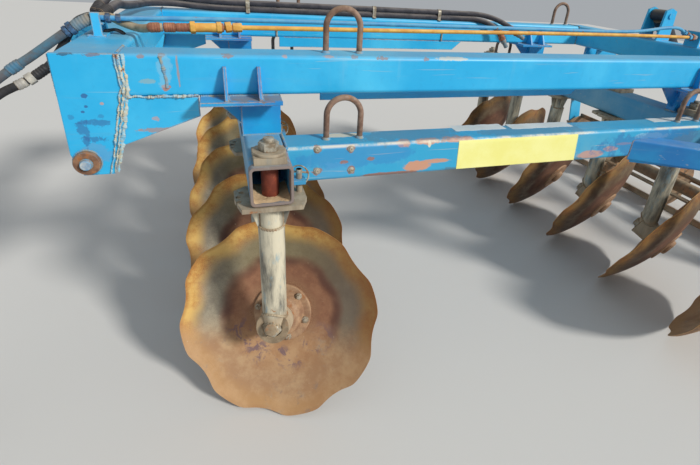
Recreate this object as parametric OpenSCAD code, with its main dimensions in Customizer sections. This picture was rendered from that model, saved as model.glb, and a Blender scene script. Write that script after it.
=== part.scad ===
// Mounted two-row disc harrow with a rear cage roller.
// X forward, Y to the left, Z up, all in mm. The middle row line of the
// front discs is x = row_x; the machine stands on its discs and its roller.

/* [Frame] */

// side of the square tubes of the frame
tube = 120; // [100:1:140]
// wall of the frame tubes
wall = 8; // [5:0.5:12]
// outer corner radius of the frame tubes
corner = 14; // [8:1:20]
// height of the top faces of the row beams
row_top = 964; // [880:1:1040]
// height of the top faces of the main beams
main_top = 1213; // [1120:1:1300]
// outer face of a main beam, measured from the centre line
main_y = 650; // [560:1:760]
// outer face of a side beam, measured from the centre line
side_y = 770; // [700:1:850]
// how far the front row beam stands out past its outermost stands
row_over = 60; // [54:1:120]
// distance between the two rows of stands
row_gap = 1945; // [1700:1:2200]
// front face of the front crossbeam ahead of the front row
front_x = 530; // [480:1:600]
// depth of the front crossbeam along the machine
front_w = 160; // [120:1:200]
// rear face of the rear crossbeam behind the front row
rear_x = 2370; // [2250:1:2500]

/* [Discs] */

// crest radius of a disc
disc_r = 355; // [300:1:400]
// depth of a disc's dish
dish = 85; // [60:1:110]
// thickness of a disc
disc_t = 7; // [5:0.5:10]
// number of scallops on a rim
scallops = 8; // [6:1:12]
// depth of a scallop
scallop_d = 17; // [8:1:30]
// spacing of the stands along a row
pitch = 420; // [380:1:460]
// attack angle of the discs, in plan
attack = 22; // [15:1:30]
// lean of the disc axis above level
lean = 22; // [10:1:28]

/* [Stands] */

// diameter of a strut
strut_d = 80; // [60:1:90]
// diameter of the neck between a strut and its sector plate
neck_d = 68; // [56:1:80]
// height of that neck below the top of the sector plate
neck_h = 94; // [60:1:130]
// diameter of the collar at a strut's foot
collar_d = 110; // [95:1:130]
// diameter of the fixed axle a disc turns on
axle_d = 42; // [34:1:50]
// diameter of the kingpin through the beam
king_d = 30; // [24:1:36]

/* [Roller] */

// outer radius of the roller
roller_r = 210; // [170:1:260]
// length of the roller over its end plates
roller_len = 2060; // [1800:1:2200]
// number of bars of the roller
bars = 8; // [6:1:12]
// thickness of a bar
bar_t = 12; // [8:1:16]
// depth of a bar, inside its ring and out
bar_h = 34; // [26:1:44]
// pin diameter of the roller's hinges
hinge_d = 30; // [24:1:40]

/* [Hidden] */

row_bot = row_top - tube;
row_len = 4 * pitch + 2 * row_over;
main_bot = main_top - tube;
half = tube / 2;
rear_row = -row_gap;
sphere_r = (disc_r * disc_r + dish * dish) / (2 * dish);
// drop of the dish's convex edge below the rim plane
edge_z = sphere_r - dish - sqrt(pow(sphere_r + disc_t, 2) - disc_r * disc_r);
// places along a disc's axis, measured from its rim plane
hub_back = -dish;
hub_front = -12;
collar_back = -8;
collar_front = 68;
collar_mid = 33;
nut_front = 92;
// height of the rim plane's centre and of the collar's middle
disc_z = disc_r * cos(lean) - edge_z * sin(lean);
hub_z = disc_z + collar_mid * sin(lean);
running = 0.05;
// shift that puts the origin under the middle of the whole machine
shift_x = 1283;
shift_y = -31.74;
plate_t = 14;
cheek_t = 12;
link_d = 28;
top_link_d = 25.4;
pin_x = 496;
pin_z = 906;
lug_pin_x = front_x + 70;
lug_pin_z = main_top - 54;
plate_top = row_bot - 4;
pad_t = 20;
lock_r = 92;
lock_a = 196;
hinge_x = -rear_x - 75;
hinge_z = 1030;
hinge_y = 430;
tube_x = -2900;
tube_z = 610;
axle_x = -2990;
core_r = 45;
stub_r = 25;
stub_l = 34;
// room of the roller's stubs in their bores
stub_play = 0.4;
ring_t = 10;
ring_in = 30;
cyl_x = -2310;
cyl_z = main_top + 132;
eye_x = -2885;
eye_z = 720;
arm_x = -1530;
arm_w = 90;
arm_top = 920;
cyl_dx = eye_x - cyl_x;
cyl_dz = eye_z - cyl_z;
cyl_len = sqrt(cyl_dx * cyl_dx + cyl_dz * cyl_dz);
cyl_tilt = atan2(-cyl_dx, -cyl_dz);

// stand table: row line x, place y, side the dish faces (1 left, -1 right),
// turn of the disc on its axle in degrees
STAND_X = 0;
STAND_Y = 1;
STAND_S = 2;
STAND_TURN = 3;
FRONT = [
  [0, 2 * pitch, 1, -4],
  [0, pitch, 1, 11],
  [0, 0, 1, 27],
  [0, -pitch, 1, 38],
  [0, -2 * pitch, 1, 5]
];
REAR = [
  [rear_row, 2.5 * pitch, -1, 22.5],
  [rear_row, 1.5 * pitch, -1, -9],
  [rear_row, 0.5 * pitch, -1, 30],
  [rear_row, -0.5 * pitch, -1, 3],
  [rear_row, -1.5 * pitch, -1, 41],
  [rear_row, -2.5 * pitch, -1, 22.5]
];

// lifting loops: middle x, side, beam (0 main, 1 side)
LOOPS_MAIN = [-270, -2120];
LOOPS_SIDE = [-250, -1800];
loop_w = 112;
loop_h = 135;
loop_d = 18;

// places of the risers along the machine
RISERS = [58, rear_row + 58];
riser_w = 232;

// pipe and hose centre lines
PIPE_BLUE = [
  [466, 352, 1268.3],
  [430, 352, 1268.3],
  [380, 346, 1268],
  [240, 332, 1270],
  [0, 318, 1272],
  [-600, 300, 1274],
  [-1200, 282, 1274],
  [-1800, 262, 1276],
  [-2060, 255, 1300],
  [-2160, 250, 1300],
  [-2230, 248, 1272],
  [-2262, 248, 1268]
];
COUPLER = [
  [274, 400.04, 1250.8],
  [200, 395.6, 1252],
  [90, 389, 1253.8]
];
PIPE_YELLOW = [
  [88.8, 388.93, 1253.8],
  [0, 383.6, 1255.3],
  [-600, 356, 1258],
  [-1200, 328, 1262],
  [-1800, 300, 1264],
  [-2262, 284, 1262]
];
HOSE_LOW_A = [
  [468, 352, 1268.3],
  [478, 352, 1268.1],
  [490, 352, 1263],
  [510, 353, 1253],
  [540, 356, 1235],
  [600, 368, 1193],
  [660, 384, 1150],
  [720, 404, 1110],
  [800, 440, 1045],
  [890, 485, 945],
  [965, 530, 810],
  [1005, 565, 660],
  [1015, 595, 510],
  [1005, 630, 370],
  [990, 680, 240],
  [985, 745, 140],
  [985, 830, 68],
  [990, 930, 28],
  [996, 1030, 18]
];
HOSE_LOW_B = [
  [478, 322, 1268.3],
  [488, 322, 1268.2],
  [502, 321, 1264.5],
  [530, 320, 1250],
  [560, 322, 1215],
  [590, 330, 1165],
  [630, 350, 1115],
  [690, 380, 1075],
  [760, 415, 1040],
  [850, 450, 960],
  [930, 480, 840],
  [985, 500, 700],
  [1015, 520, 540],
  [1030, 550, 390],
  [1035, 600, 260],
  [1030, 670, 150],
  [1028, 760, 74],
  [1032, 860, 30],
  [1038, 960, 18]
];
HOSE_MID = [
  [477.1, 322, 1268.3],
  [456, 322, 1268.3],
  [432, 322.5, 1267.2],
  [400, 328, 1252],
  [360, 346, 1241],
  [334, 378, 1243],
  [306, 401, 1249.8],
  [275.5, 400.1, 1250.8]
];
HOSE_TOP_A = [
  [470, 290, 1270.3],
  [448, 240, 1284],
  [444, 120, 1288],
  [440, 0, 1276],
  [438, -150, 1264],
  [432, -300, 1255],
  [415, -420, 1250],
  [370, -505, 1246],
  [300, -548, 1242],
  [200, -558, 1233],
  [80, -558, 1228.4],
  [-100, -558, 1228.4],
  [-400, -558, 1228.4],
  [-700, -558, 1228.4],
  [-1000, -558, 1228.4],
  [-1200, -558, 1228.4],
  [-1330, -556, 1228.4],
  [-1440, -532, 1228],
  [-1520, -498, 1206],
  [-1575, -472, 1168],
  [-1600, -462, 1130]
];
HOSE_TOP_B = [
  [490, 256, 1270.3],
  [474, 200, 1300],
  [466, 100, 1316],
  [462, -10, 1308],
  [460, -160, 1296],
  [452, -300, 1286],
  [430, -420, 1281],
  [378, -502, 1277],
  [302, -546, 1273],
  [202, -558, 1264],
  [80, -558, 1258.9],
  [-100, -558, 1258.9],
  [-400, -558, 1258.9],
  [-700, -558, 1258.9],
  [-1000, -558, 1258.9],
  [-1200, -558, 1258.9],
  [-1330, -556, 1258.9],
  [-1450, -540, 1258],
  [-1550, -512, 1240],
  [-1640, -486, 1204],
  [-1700, -468, 1166]
];
hose_r = 13;
pipe_r = 8;
post_top = main_top + 42;

// helpers

module at() {
  translate([shift_x, shift_y, 0]) children();
}

module box(a, b) {
  translate(a) cube(b - a);
}

module round_square(w, h, r) {
  union() {
    translate([-w / 2 + r, -h / 2]) square([w - 2 * r, h]);
    translate([-w / 2, -h / 2 + r]) square([w, h - 2 * r]);
    for (sx = [-1, 1])
      for (sy = [-1, 1])
        translate([sx * (w / 2 - r), sy * (h / 2 - r)]) circle(r = r, $fn = 48);
  }
}

module tube_profile(w, h, t, r) {
  difference() {
    round_square(w, h, r);
    round_square(w - 2 * t, h - 2 * t, r - t + 2);
  }
}

// square tube along x from x0 to x1 with its middle at y, z
module tube_x_run(x0, x1, y, z, w, h, t) {
  translate([x0, y, z]) rotate([90, 0, 90]) linear_extrude(height = x1 - x0)
    tube_profile(w, h, t, corner);
}

// square tube along y from y0 to y1 with its middle at x, z
module tube_y_run(y0, y1, x, z, w, h, t) {
  translate([x, y1, z]) rotate([90, 0, 0]) linear_extrude(height = y1 - y0)
    tube_profile(w, h, t, corner);
}

// plate in the x-z plane, its outline in machine x and z
module plate_xz(pts, y0, y1) {
  translate([0, y1, 0]) rotate([90, 0, 0]) linear_extrude(height = y1 - y0)
    polygon(pts);
}

module plate_yz(pts, x0, x1) {
  translate([x0, 0, 0]) rotate([90, 0, 90]) linear_extrude(height = x1 - x0)
    polygon(pts);
}

module cyl_y(x, z, y0, y1, r) {
  translate([x, y1, z]) rotate([90, 0, 0]) cylinder(r = r, h = y1 - y0, $fn = 64);
}

// one bent round bar standing on a top face
module loop(x, y, z) {
  r = loop_w / 2;
  translate([x, y, z]) {
    for (s = [-1, 1])
      translate([s * r, 0, -6]) cylinder(d = loop_d, h = loop_h - r + 6, $fn = 32);
    translate([0, 0, loop_h - r]) rotate([90, 0, 0])
      intersection() {
        rotate_extrude($fn = 64) translate([r, 0]) circle(d = loop_d, $fn = 32);
        translate([-r - 20, 0, -20]) cube([2 * r + 40, r + 20, 40]);
      }
  }
}

// swept round cord: one ring of sides points at every place of the line
function unit(v) = v / norm(v);
function tangent(p, i) = unit(p[min(i + 1, len(p) - 1)] - p[max(i - 1, 0)]);
function side_of(t) = unit(cross(t, abs(t[2]) > 0.9 ? [0, 1, 0] : [0, 0, 1]));
function smooth(p, n) = [
  for (i = [0 : len(p) - 2])
    for (k = [0 : n - 1])
      let (
        u = k / n,
        a = p[max(i - 1, 0)],
        b = p[i],
        c = p[i + 1],
        d = p[min(i + 2, len(p) - 1)]
      )
      0.5 * (2 * b + (c - a) * u + (2 * a - 5 * b + 4 * c - d) * u * u
        + (3 * b - a - 3 * c + d) * u * u * u),
  p[len(p) - 1]
];

module cord(line, r, n, sides) {
  p = smooth(line, n);
  m = len(p);
  pts = [
    for (i = [0 : m - 1])
      let (t = tangent(p, i), s = side_of(t), v = cross(s, t))
      for (k = [0 : sides - 1])
        p[i] + r * (s * cos(360 * k / sides) + v * sin(360 * k / sides))
  ];
  faces = concat(
    [[for (k = [0 : sides - 1]) k]],
    [
      for (i = [0 : m - 2])
        for (k = [0 : sides - 1])
          let (a = i * sides + k, b = i * sides + (k + 1) % sides)
          [a, a + sides, b + sides, b]
    ],
    [[for (k = [0 : sides - 1]) (m - 1) * sides + sides - 1 - k]]
  );
  polyhedron(points = pts, faces = faces);
}

// frame

module main_beam(s) {
  yc = s * (main_y - half);
  tube_x_run(-rear_x + tube, front_x - front_w, yc, main_top - half, tube, tube, wall);
  for (x = LOOPS_MAIN) loop(x, yc, main_top);
  plate_xz([[-210, main_bot + 2], [-210, main_bot - 50], [-1290, main_bot - 50],
    [-1350, main_bot + 2]], s > 0 ? yc - half : yc + half - 10,
    s > 0 ? yc - half + 10 : yc + half);
}

module main_beam_left() {
  color([0.15, 0.55, 0.85]) at() main_beam(1);
}

module main_beam_right() {
  color([0.15, 0.55, 0.85]) at() main_beam(-1);
}

module crossbeam_front() {
  color([0.15, 0.55, 0.85]) at() {
    tube_y_run(-main_y + cheek_t, main_y - cheek_t, front_x - front_w / 2, main_top - half, front_w, tube, wall);
  }
}

module crossbeam_rear() {
  color([0.15, 0.55, 0.85]) at() {
    tube_y_run(-main_y, main_y, -rear_x + half, main_top - half, tube, tube, wall);
    for (s = [-1, 1])
      for (k = [-1, 1])
        difference() {
          plate_xz([[-rear_x + 4, main_top - 30], [-rear_x + 4, main_bot + 8],
            [-rear_x + 60, main_bot + 4], [-rear_x + 60, main_bot - 60],
            [hinge_x - 30, hinge_z - 38], [hinge_x - 42, hinge_z],
            [hinge_x - 30, hinge_z + 42], [-rear_x - 20, main_top - 30]],
            s * hinge_y + k * 52 - 7, s * hinge_y + k * 52 + 7);
        }
    for (s = [-1, 1])
      cyl_y(hinge_x, hinge_z, s * hinge_y - 66, s * hinge_y + 66, hinge_d / 2);
    for (k = [-1, 1])
      plate_xz([[cyl_x - 50, main_top - 2], [cyl_x - 38, cyl_z + 26], [cyl_x, cyl_z + 40],
        [cyl_x + 38, cyl_z + 26], [cyl_x + 50, main_top - 2]],
        k * 56 - 6, k * 56 + 6);
    cyl_y(cyl_x, cyl_z, -68, 68, hinge_d / 2);
    // bracket that ends the pipes
    box([-2274, 226, main_top - 2], [-2262.3, 306, main_top + 78]);
    for (p = [PIPE_BLUE[11], PIPE_YELLOW[5]])
      translate([-2273, p[1], p[2]]) rotate([0, -90, 0]) cylinder(r = 15, h = 62, $fn = 48);
  }
}

// cheek plates, pin and gusset under one end of the front crossbeam; the
// outer cheek also closes the crossbeam's tube
module hitch(s) {
  x0 = front_x - front_w;
  y1 = main_y;
  foot = [[front_x + 5, 930], [front_x - 17, 863], [x0 + 63, 863], [x0 + 40, 944]];
  mirror([0, s > 0 ? 0 : 1, 0]) {
    plate_xz(concat([[front_x, main_top]], foot, [[x0, main_bot], [x0, main_top]]), y1 - cheek_t, y1);
    plate_xz(concat([[front_x, main_bot]], foot, [[x0, main_bot]]), y1 - tube, y1 - tube + cheek_t);
    // gusset that carries the cheek's load back under the main beam
    plate_xz([[x0 + 6, main_bot], [x0 + 46, 944], [x0 - 192, main_bot - 60], [x0 - 192, main_bot]],
      y1 - cheek_t, y1);
    // back plate between the cheeks
    plate_xz([[x0 + 4, main_bot], [x0 + 44, 944], [x0 + 67, 866], [x0 + 80, 866], [x0 + 57, 944],
      [x0 + 17, main_bot]], y1 - tube + 4, y1 - 4);
    cyl_y(pin_x, pin_z, y1 - tube - 22, y1 + 32, link_d / 2);
    cyl_y(pin_x, pin_z, y1 - tube - 12, y1 - tube + 2, 24);
    cyl_y(pin_x, pin_z, y1 - 2, y1 + 18, 34);
  }
}

module hitch_left() {
  color([0.15, 0.55, 0.85]) at() hitch(1);
}

module hitch_right() {
  color([0.15, 0.55, 0.85]) at() hitch(-1);
}

module top_link_lugs() {
  color([0.15, 0.55, 0.85]) at() difference() {
    union() {
      for (k = [-1, 1])
        plate_xz([[front_x, main_top - 14], [front_x + 60, main_top - 14],
          [front_x + 104, main_top - 34], [front_x + 104, main_top - 74],
          [front_x + 60, main_top - 96], [front_x, main_bot + 14]],
          k * 36 - 7, k * 36 + 7);
      for (k = [-1, 1])
        cyl_y(lug_pin_x, lug_pin_z, k * 46 - 5, k * 46 + 5, 27);
    }
    cyl_y(lug_pin_x, lug_pin_z, -60, 60, top_link_d / 2 + 0.3);
  }
}

module row_beam(x, table, yl) {
  difference() {
    tube_y_run(-yl, yl, x, row_top - half, tube, tube, wall);
    for (t = table)
      if (abs(t[STAND_Y]) < yl)
        translate([t[STAND_X], t[STAND_Y], row_bot - 10])
          cylinder(d = king_d + 1, h = tube + 20, $fn = 48);
  }
}

// lug that takes the angle pin of a stand, welded to the beam's rear face
module lock_lug(t) {
  s = t[STAND_S];
  lx = t[STAND_X] + lock_r * cos(lock_a);
  ly = t[STAND_Y] + s * lock_r * sin(lock_a);
  difference() {
    box([t[STAND_X] - half - 46, ly - 20, row_bot + 26],
      [t[STAND_X] - half + 2, ly + 20, row_bot + 40]);
    translate([lx, ly, row_bot]) cylinder(d = 19, h = 60, $fn = 32);
  }
}

module row_beam_front() {
  color([0.15, 0.55, 0.85]) at() {
    row_beam(0, FRONT, row_len / 2);
    for (t = FRONT) lock_lug(t);
  }
}

module row_beam_rear() {
  color([0.15, 0.55, 0.85]) at() {
    row_beam(rear_row, REAR, row_len / 2);
    for (t = REAR)
      if (abs(t[STAND_Y]) < row_len / 2) lock_lug(t);
  }
}

module side_beam(s) {
  yc = s * (side_y - half);
  tube_x_run(rear_row + half, -half, yc, row_top - half, tube, tube, wall);
  for (x = LOOPS_SIDE) loop(x, yc, row_top);
}

module side_beam_left() {
  color([0.15, 0.55, 0.85]) at() side_beam(1);
}

module side_beam_right() {
  color([0.15, 0.55, 0.85]) at() side_beam(-1);
}

// slanting arm from a side beam to the outermost rear stand
module outrigger(s) {
  t = s > 0 ? REAR[0] : REAR[5];
  y0 = side_y;
  y1 = abs(t[STAND_Y]);
  dx = t[STAND_X] - arm_x;
  dy = y1 - y0;
  a = atan2(dy, dx);
  l = sqrt(dx * dx + dy * dy);
  mirror([0, s > 0 ? 0 : 1, 0]) {
    difference() {
      translate([arm_x, y0, arm_top - arm_w / 2]) rotate([0, 0, a])
        rotate([90, 0, 90]) translate([0, 0, -70]) linear_extrude(height = l + 130)
          tube_profile(arm_w, arm_w, 6, 10);
      box([arm_x - 300, y0 - 200, arm_top - 200], [arm_x + 300, y0, arm_top + 200]);
      translate([t[STAND_X], y1, arm_top - arm_w - 10])
        cylinder(d = king_d + 1, h = arm_w + 20, $fn = 48);
    }
    // closing plate and the lug of the angle pin
    translate([arm_x, y0, arm_top - arm_w]) rotate([0, 0, a])
      translate([l + 59, -arm_w / 2, 0]) cube([9, arm_w, arm_w]);
    difference() {
      box([t[STAND_X] - 112, y1 + s * 25.4 - 20, arm_top - arm_w + 26],
        [t[STAND_X] - 42, y1 + s * 25.4 + 20, arm_top - arm_w + 40]);
      translate([t[STAND_X] + lock_r * cos(lock_a), y1 + s * 25.36, arm_top - arm_w])
        cylinder(d = 19, h = 60, $fn = 32);
    }
    // gusset plate under the arm's root
    translate([0, 0, arm_top - arm_w - 10]) linear_extrude(height = 14)
      polygon([[arm_x + 60, y0], [arm_x - 240, y0], [arm_x - 150, y0 + 110]]);
  }
}

module outrigger_left() {
  color([0.12, 0.45, 0.75]) at() outrigger(1);
}

module outrigger_right() {
  color([0.12, 0.45, 0.75]) at() outrigger(-1);
}

// riser between a row beam and a main beam; leg is its width across and
// reach is how far its top plate stands out of the main beam's outer face
module riser(xc, s, leg, reach) {
  xa = xc - 58 - half;
  yi = main_y - tube;
  mirror([0, s > 0 ? 0 : 1, 0]) {
    box([xc - riser_w / 2, yi - 70, main_bot - 12], [xc + riser_w / 2, main_y + reach, main_bot]);
    difference() {
      box([xa, yi + 6, row_top], [xa + tube, yi + 6 + leg, main_bot - 10]);
      box([xa + 8, yi + 14, row_top - 1], [xa + tube - 8, yi - 2 + leg, main_bot - 11]);
    }
    for (dx = [-54, 42]) {
      plate_yz([[main_y, main_bot - 4], [main_y + reach - 8, main_bot - 4], [main_y + reach - 8, main_bot],
        [main_y + 14, main_bot + 88], [main_y, main_bot + 88]], xc + dx - 5, xc + dx + 5);
      plate_yz([[yi, main_bot - 4], [yi - 62, main_bot - 4], [yi - 62, main_bot],
        [yi - 14, main_bot + 88], [yi, main_bot + 88]], xc + dx - 5, xc + dx + 5);
    }
    plate_xz([[xa + tube - 3, main_bot - 10], [xc + riser_w / 2 - 8, main_bot - 10],
      [xa + tube - 3, row_top + 14]], yi + 22, yi + 32);
  }
}

module risers_front() {
  color([0.12, 0.45, 0.75]) at() for (s = [-1, 1]) riser(RISERS[0], s, tube - 12, 70);
}

module risers_rear() {
  color([0.12, 0.45, 0.75]) at() for (s = [-1, 1]) riser(RISERS[1], s, 42, 40);
}

// stands and discs

// puts a piece drawn along the disc's axis in place at its stand
module on_axis(t) {
  translate([t[STAND_X], t[STAND_Y], hub_z]) mirror([0, t[STAND_S] > 0 ? 0 : 1, 0])
    rotate([0, 90 - lean, 90 - attack]) translate([0, 0, -collar_mid]) children();
}

// stand under a beam whose faces are at top and bottom
module stand(t, top, bot) {
  s = t[STAND_S];
  pt = bot - 4;
  translate([t[STAND_X], t[STAND_Y], 0]) mirror([0, s > 0 ? 0 : 1, 0]) {
    difference() {
      union() {
        translate([0, 0, hub_z]) cylinder(d = strut_d, h = pt - neck_h - hub_z, $fn = 64);
        translate([0, 0, pt - neck_h - 4]) cylinder(d = neck_d, h = neck_h - 2, $fn = 64);
      }
      translate([0, 0, hub_z + 75]) cylinder(d = strut_d - 24, h = pt - hub_z - 175, $fn = 64);
    }
    translate([0, 0, pt - 14]) cylinder(d = king_d, h = top - pt + 14 + pad_t + 34, $fn = 48);
    box([-45, -45, top], [45, 45, top + pad_t]);
    translate([0, 0, top + pad_t]) cylinder(d = 90, h = 8, $fn = 64);
    translate([0, 0, top + pad_t + 8]) cylinder(r = 23, h = 22, $fn = 6);
    // sector plate with its row of holes
    difference() {
      translate([0, 0, pt - plate_t]) linear_extrude(height = plate_t)
        polygon([[-104, -62], [-104, 20], [-86, 66], [85, 62], [102, -7],
          [102, -58], [70, -84], [-70, -84]]);
      for (a = [-28, -10, 8])
        translate([lock_r * cos(a), lock_r * sin(a), pt - 30]) cylinder(d = 15, h = 40, $fn = 32);
    }
    // angle pin through the lug and the plate
    translate([lock_r * cos(lock_a), lock_r * sin(lock_a), pt - plate_t - 26])
      cylinder(d = 18, h = plate_t + 26 + 4 + 70, $fn = 32);
    for (k = [-1, 1])
      plate_xz([[k * 66, pt - plate_t + 1], [k * 26, pt - plate_t + 1], [k * 26, pt - neck_h - 8],
        [k * 39, pt - neck_h - 8]], -6, 6);
  }
  on_axis(t) {
    difference() {
      translate([0, 0, collar_back]) cylinder(d = collar_d, h = collar_front - collar_back, $fn = 64);
      translate([0, 0, collar_front - 10]) cylinder(d = 66, h = 20, $fn = 64);
    }
    translate([0, 0, -62]) cylinder(d = axle_d, h = 62 + collar_front + 4, $fn = 64);
    translate([0, 0, collar_front - 11]) cylinder(r = 27, h = 24, $fn = 6);
    translate([0, 0, collar_front + 12]) cylinder(r = 20, h = 12, $fn = 48);
  }
}

module disc(t) {
  cut_r = 250;
  on_axis(t) {
    difference() {
      intersection() {
        translate([0, 0, sphere_r - dish]) difference() {
          sphere(r = sphere_r + disc_t, $fn = 120);
          sphere(r = sphere_r, $fn = 120);
        }
        translate([0, 0, -dish - 30]) cylinder(r = disc_r, h = dish + 60, $fn = 120);
      }
      for (i = [0 : scallops - 1])
        rotate([0, 0, 360 / scallops * i + t[STAND_TURN]])
          translate([disc_r - scallop_d + cut_r, 0, -dish - 40])
            cylinder(r = cut_r, h = dish + 80, $fn = 120);
    }
    difference() {
      union() {
        translate([0, 0, -dish - 1]) cylinder(r = 105, h = 19, $fn = 96);
        translate([0, 0, -69]) cylinder(r = 76, h = 39, $fn = 96);
        translate([0, 0, -dish - 1]) cylinder(r = 55, h = dish + 1 + hub_front, $fn = 64);
        translate([0, 0, -dish - 26]) cylinder(r = 44, h = 26, $fn = 64);
      }
      translate([0, 0, -68]) cylinder(r = axle_d / 2 + running, h = 100, $fn = 64);
    }
  }
}

module stand_front(i) {
  color([0.75, 0.72, 0.68]) at() stand(FRONT[i], row_top, row_bot);
}

module stand_rear(i) {
  e = i == 0 || i == 5;
  color([0.75, 0.72, 0.68]) at()
    stand(REAR[i], e ? arm_top : row_top, e ? arm_top - arm_w : row_bot);
}

module disc_front(i) {
  color([0.65, 0.42, 0.25]) at() disc(FRONT[i]);
}

module disc_rear(i) {
  color([0.65, 0.42, 0.25]) at() disc(REAR[i]);
}

// hydraulics

module rod_between(a, b, r) {
  d = b - a;
  l = norm(d);
  translate(a) rotate([0, acos(d[2] / l), atan2(d[1], d[0])]) cylinder(r = r, h = l, $fn = 48);
}

module hose_post() {
  color([0.3, 0.65, 0.9]) at() {
    box([446, 250, main_top], [498, 374, main_top + 6]);
    box([458, 262, main_top + 2], [488, 292, post_top - 2]);
    box([448, 238, post_top - 5], [504, 304, post_top]);
    box([448, 300, post_top - 5], [470, 372, post_top]);
    // upright strap beside the hoses
    box([454, 367, main_top + 2], [480, 374, post_top + 31]);
  }
}

module pipe_blue() {
  color([0.3, 0.65, 0.9]) at() cord(PIPE_BLUE, pipe_r, 3, 10);
}

module pipe_yellow() {
  color([0.88, 0.66, 0.28]) at() cord(PIPE_YELLOW, pipe_r, 3, 10);
}

module pipe_coupler() {
  color([0.55, 0.35, 0.25]) at() {
    rod_between(COUPLER[0], COUPLER[1], 12);
    rod_between(COUPLER[1], COUPLER[2], 14);
  }
}

module hose_low_a() {
  color([0.2, 0.2, 0.22]) at() cord(HOSE_LOW_A, hose_r, 4, 8);
}

module hose_low_b() {
  color([0.2, 0.2, 0.22]) at() cord(HOSE_LOW_B, hose_r, 4, 8);
}

// two-step fitting at a hose's end, along the line from a to b
module fitting(a, b, r) {
  m = a + (b - a) * 0.45;
  rod_between(a, m, r);
  rod_between(m - (b - a) * 0.02, b, r * 0.76);
}

module hose_couplers() {
  color([0.55, 0.35, 0.25]) at() {
    for (h = [HOSE_LOW_A, HOSE_LOW_B]) {
      e = h[len(h) - 1];
      fitting(e + [0.05, 1.2, 0], e + [4, 88, 0], 17);
    }
    for (h = [HOSE_TOP_A, HOSE_TOP_B]) {
      e = h[len(h) - 1];
      d = unit(e - h[len(h) - 2]);
      fitting(e + d * 1.2, e + d * 66, 17);
    }
  }
}

module hose_mid() {
  color([0.2, 0.2, 0.22]) at() cord(HOSE_MID, hose_r, 3, 8);
}

module hose_top_a() {
  color([0.1, 0.1, 0.1]) at() cord(HOSE_TOP_A, 15, 3, 8);
}

module hose_top_b() {
  color([0.1, 0.1, 0.1]) at() cord(HOSE_TOP_B, 15, 3, 8);
}

// roller

module roller_frame() {
  arm_dx = tube_x - hinge_x;
  arm_dz = tube_z - hinge_z;
  arm_l = sqrt(arm_dx * arm_dx + arm_dz * arm_dz);
  arm_a = atan2(-arm_dx, -arm_dz);
  yo = roller_len / 2 + 18;
  color([0.15, 0.55, 0.85]) at() {
    tube_y_run(-yo, yo, tube_x, tube_z, 90, 90, 6);
    for (s = [-1, 1]) {
      difference() {
        union() {
          translate([hinge_x, s * hinge_y, hinge_z]) rotate([0, 180 + arm_a, 0])
            linear_extrude(height = arm_l - 30) tube_profile(70, 60, 5, 10);
          cyl_y(hinge_x, hinge_z, s * hinge_y - 42, s * hinge_y + 42, 38);
        }
        cyl_y(hinge_x, hinge_z, s * hinge_y - 60, s * hinge_y + 60, hinge_d / 2 + running);
      }
      difference() {
        plate_xz([[tube_x + 45, tube_z + 40], [tube_x - 50, tube_z + 40], [axle_x - 55, roller_r + 10],
          [axle_x - 40, roller_r - 50], [axle_x + 40, roller_r - 50], [axle_x + 60, roller_r + 20]],
          s > 0 ? yo : -yo - 12, s > 0 ? yo + 12 : -yo);
        cyl_y(axle_x, roller_r, -yo - 20, yo + 20, stub_r + stub_play);
      }
    }
    for (k = [-1, 1])
      difference() {
        plate_xz([[tube_x + 40, tube_z + 44], [tube_x - 40, tube_z + 44], [eye_x - 34, eye_z],
          [eye_x, eye_z + 34], [eye_x + 34, eye_z]], k * 36 - 6, k * 36 + 6);
      }
    cyl_y(eye_x, eye_z, -48, 48, 14);
  }
}

module roller() {
  yo = roller_len / 2;
  color([0.45, 0.42, 0.4]) at() translate([axle_x, 0, roller_r]) {
    rotate([90, 0, 0]) {
      difference() {
        union() {
          translate([0, 0, -yo]) cylinder(r = core_r, h = 2 * yo, $fn = 64);
          translate([0, 0, -yo - stub_l]) cylinder(r = stub_r, h = 2 * (yo + stub_l), $fn = 64);
        }
        translate([0, 0, -yo + 2 * ring_in]) cylinder(r = core_r - 8, h = 2 * yo - 4 * ring_in, $fn = 64);
      }
      for (k = [-2 : 2])
        translate([0, 0, k * (yo - ring_in) / 2 - ring_t / 2])
          cylinder(r = roller_r - bar_h + 12, h = ring_t, $fn = 96);
      for (i = [0 : bars - 1])
        rotate([0, 0, 360 / bars * i])
          translate([roller_r - bar_h, -bar_t / 2, -yo + ring_in / 2 + 5])
            cube([bar_h - 0.1, bar_t, 2 * yo - ring_in - 10]);
    }
  }
}

module cylinder_barrel() {
  color([0.15, 0.15, 0.17]) at() translate([cyl_x, 0, cyl_z]) rotate([0, 180 + cyl_tilt, 0]) {
    difference() {
      union() {
        rotate([90, 0, 0]) translate([0, 0, -44]) cylinder(r = 30, h = 88, $fn = 64);
        translate([0, 0, 20]) cylinder(r = 42, h = 470, $fn = 64);
      }
      rotate([90, 0, 0]) translate([0, 0, -50]) cylinder(r = hinge_d / 2 + running, h = 100, $fn = 64);
      translate([0, 0, 60]) cylinder(r = 22 + running, h = 500, $fn = 64);
    }
  }
}

module cylinder_rod() {
  color([0.8, 0.8, 0.82]) at() translate([cyl_x, 0, cyl_z]) rotate([0, 180 + cyl_tilt, 0]) {
    translate([0, 0, 240]) cylinder(r = 22, h = cyl_len - 240 - 20, $fn = 64);
    difference() {
      translate([0, 0, cyl_len]) rotate([90, 0, 0]) translate([0, 0, -28])
        cylinder(r = 29, h = 56, $fn = 64);
      translate([0, 0, cyl_len]) rotate([90, 0, 0]) translate([0, 0, -40])
        cylinder(r = 15.8, h = 80, $fn = 64);
    }
  }
}

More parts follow.
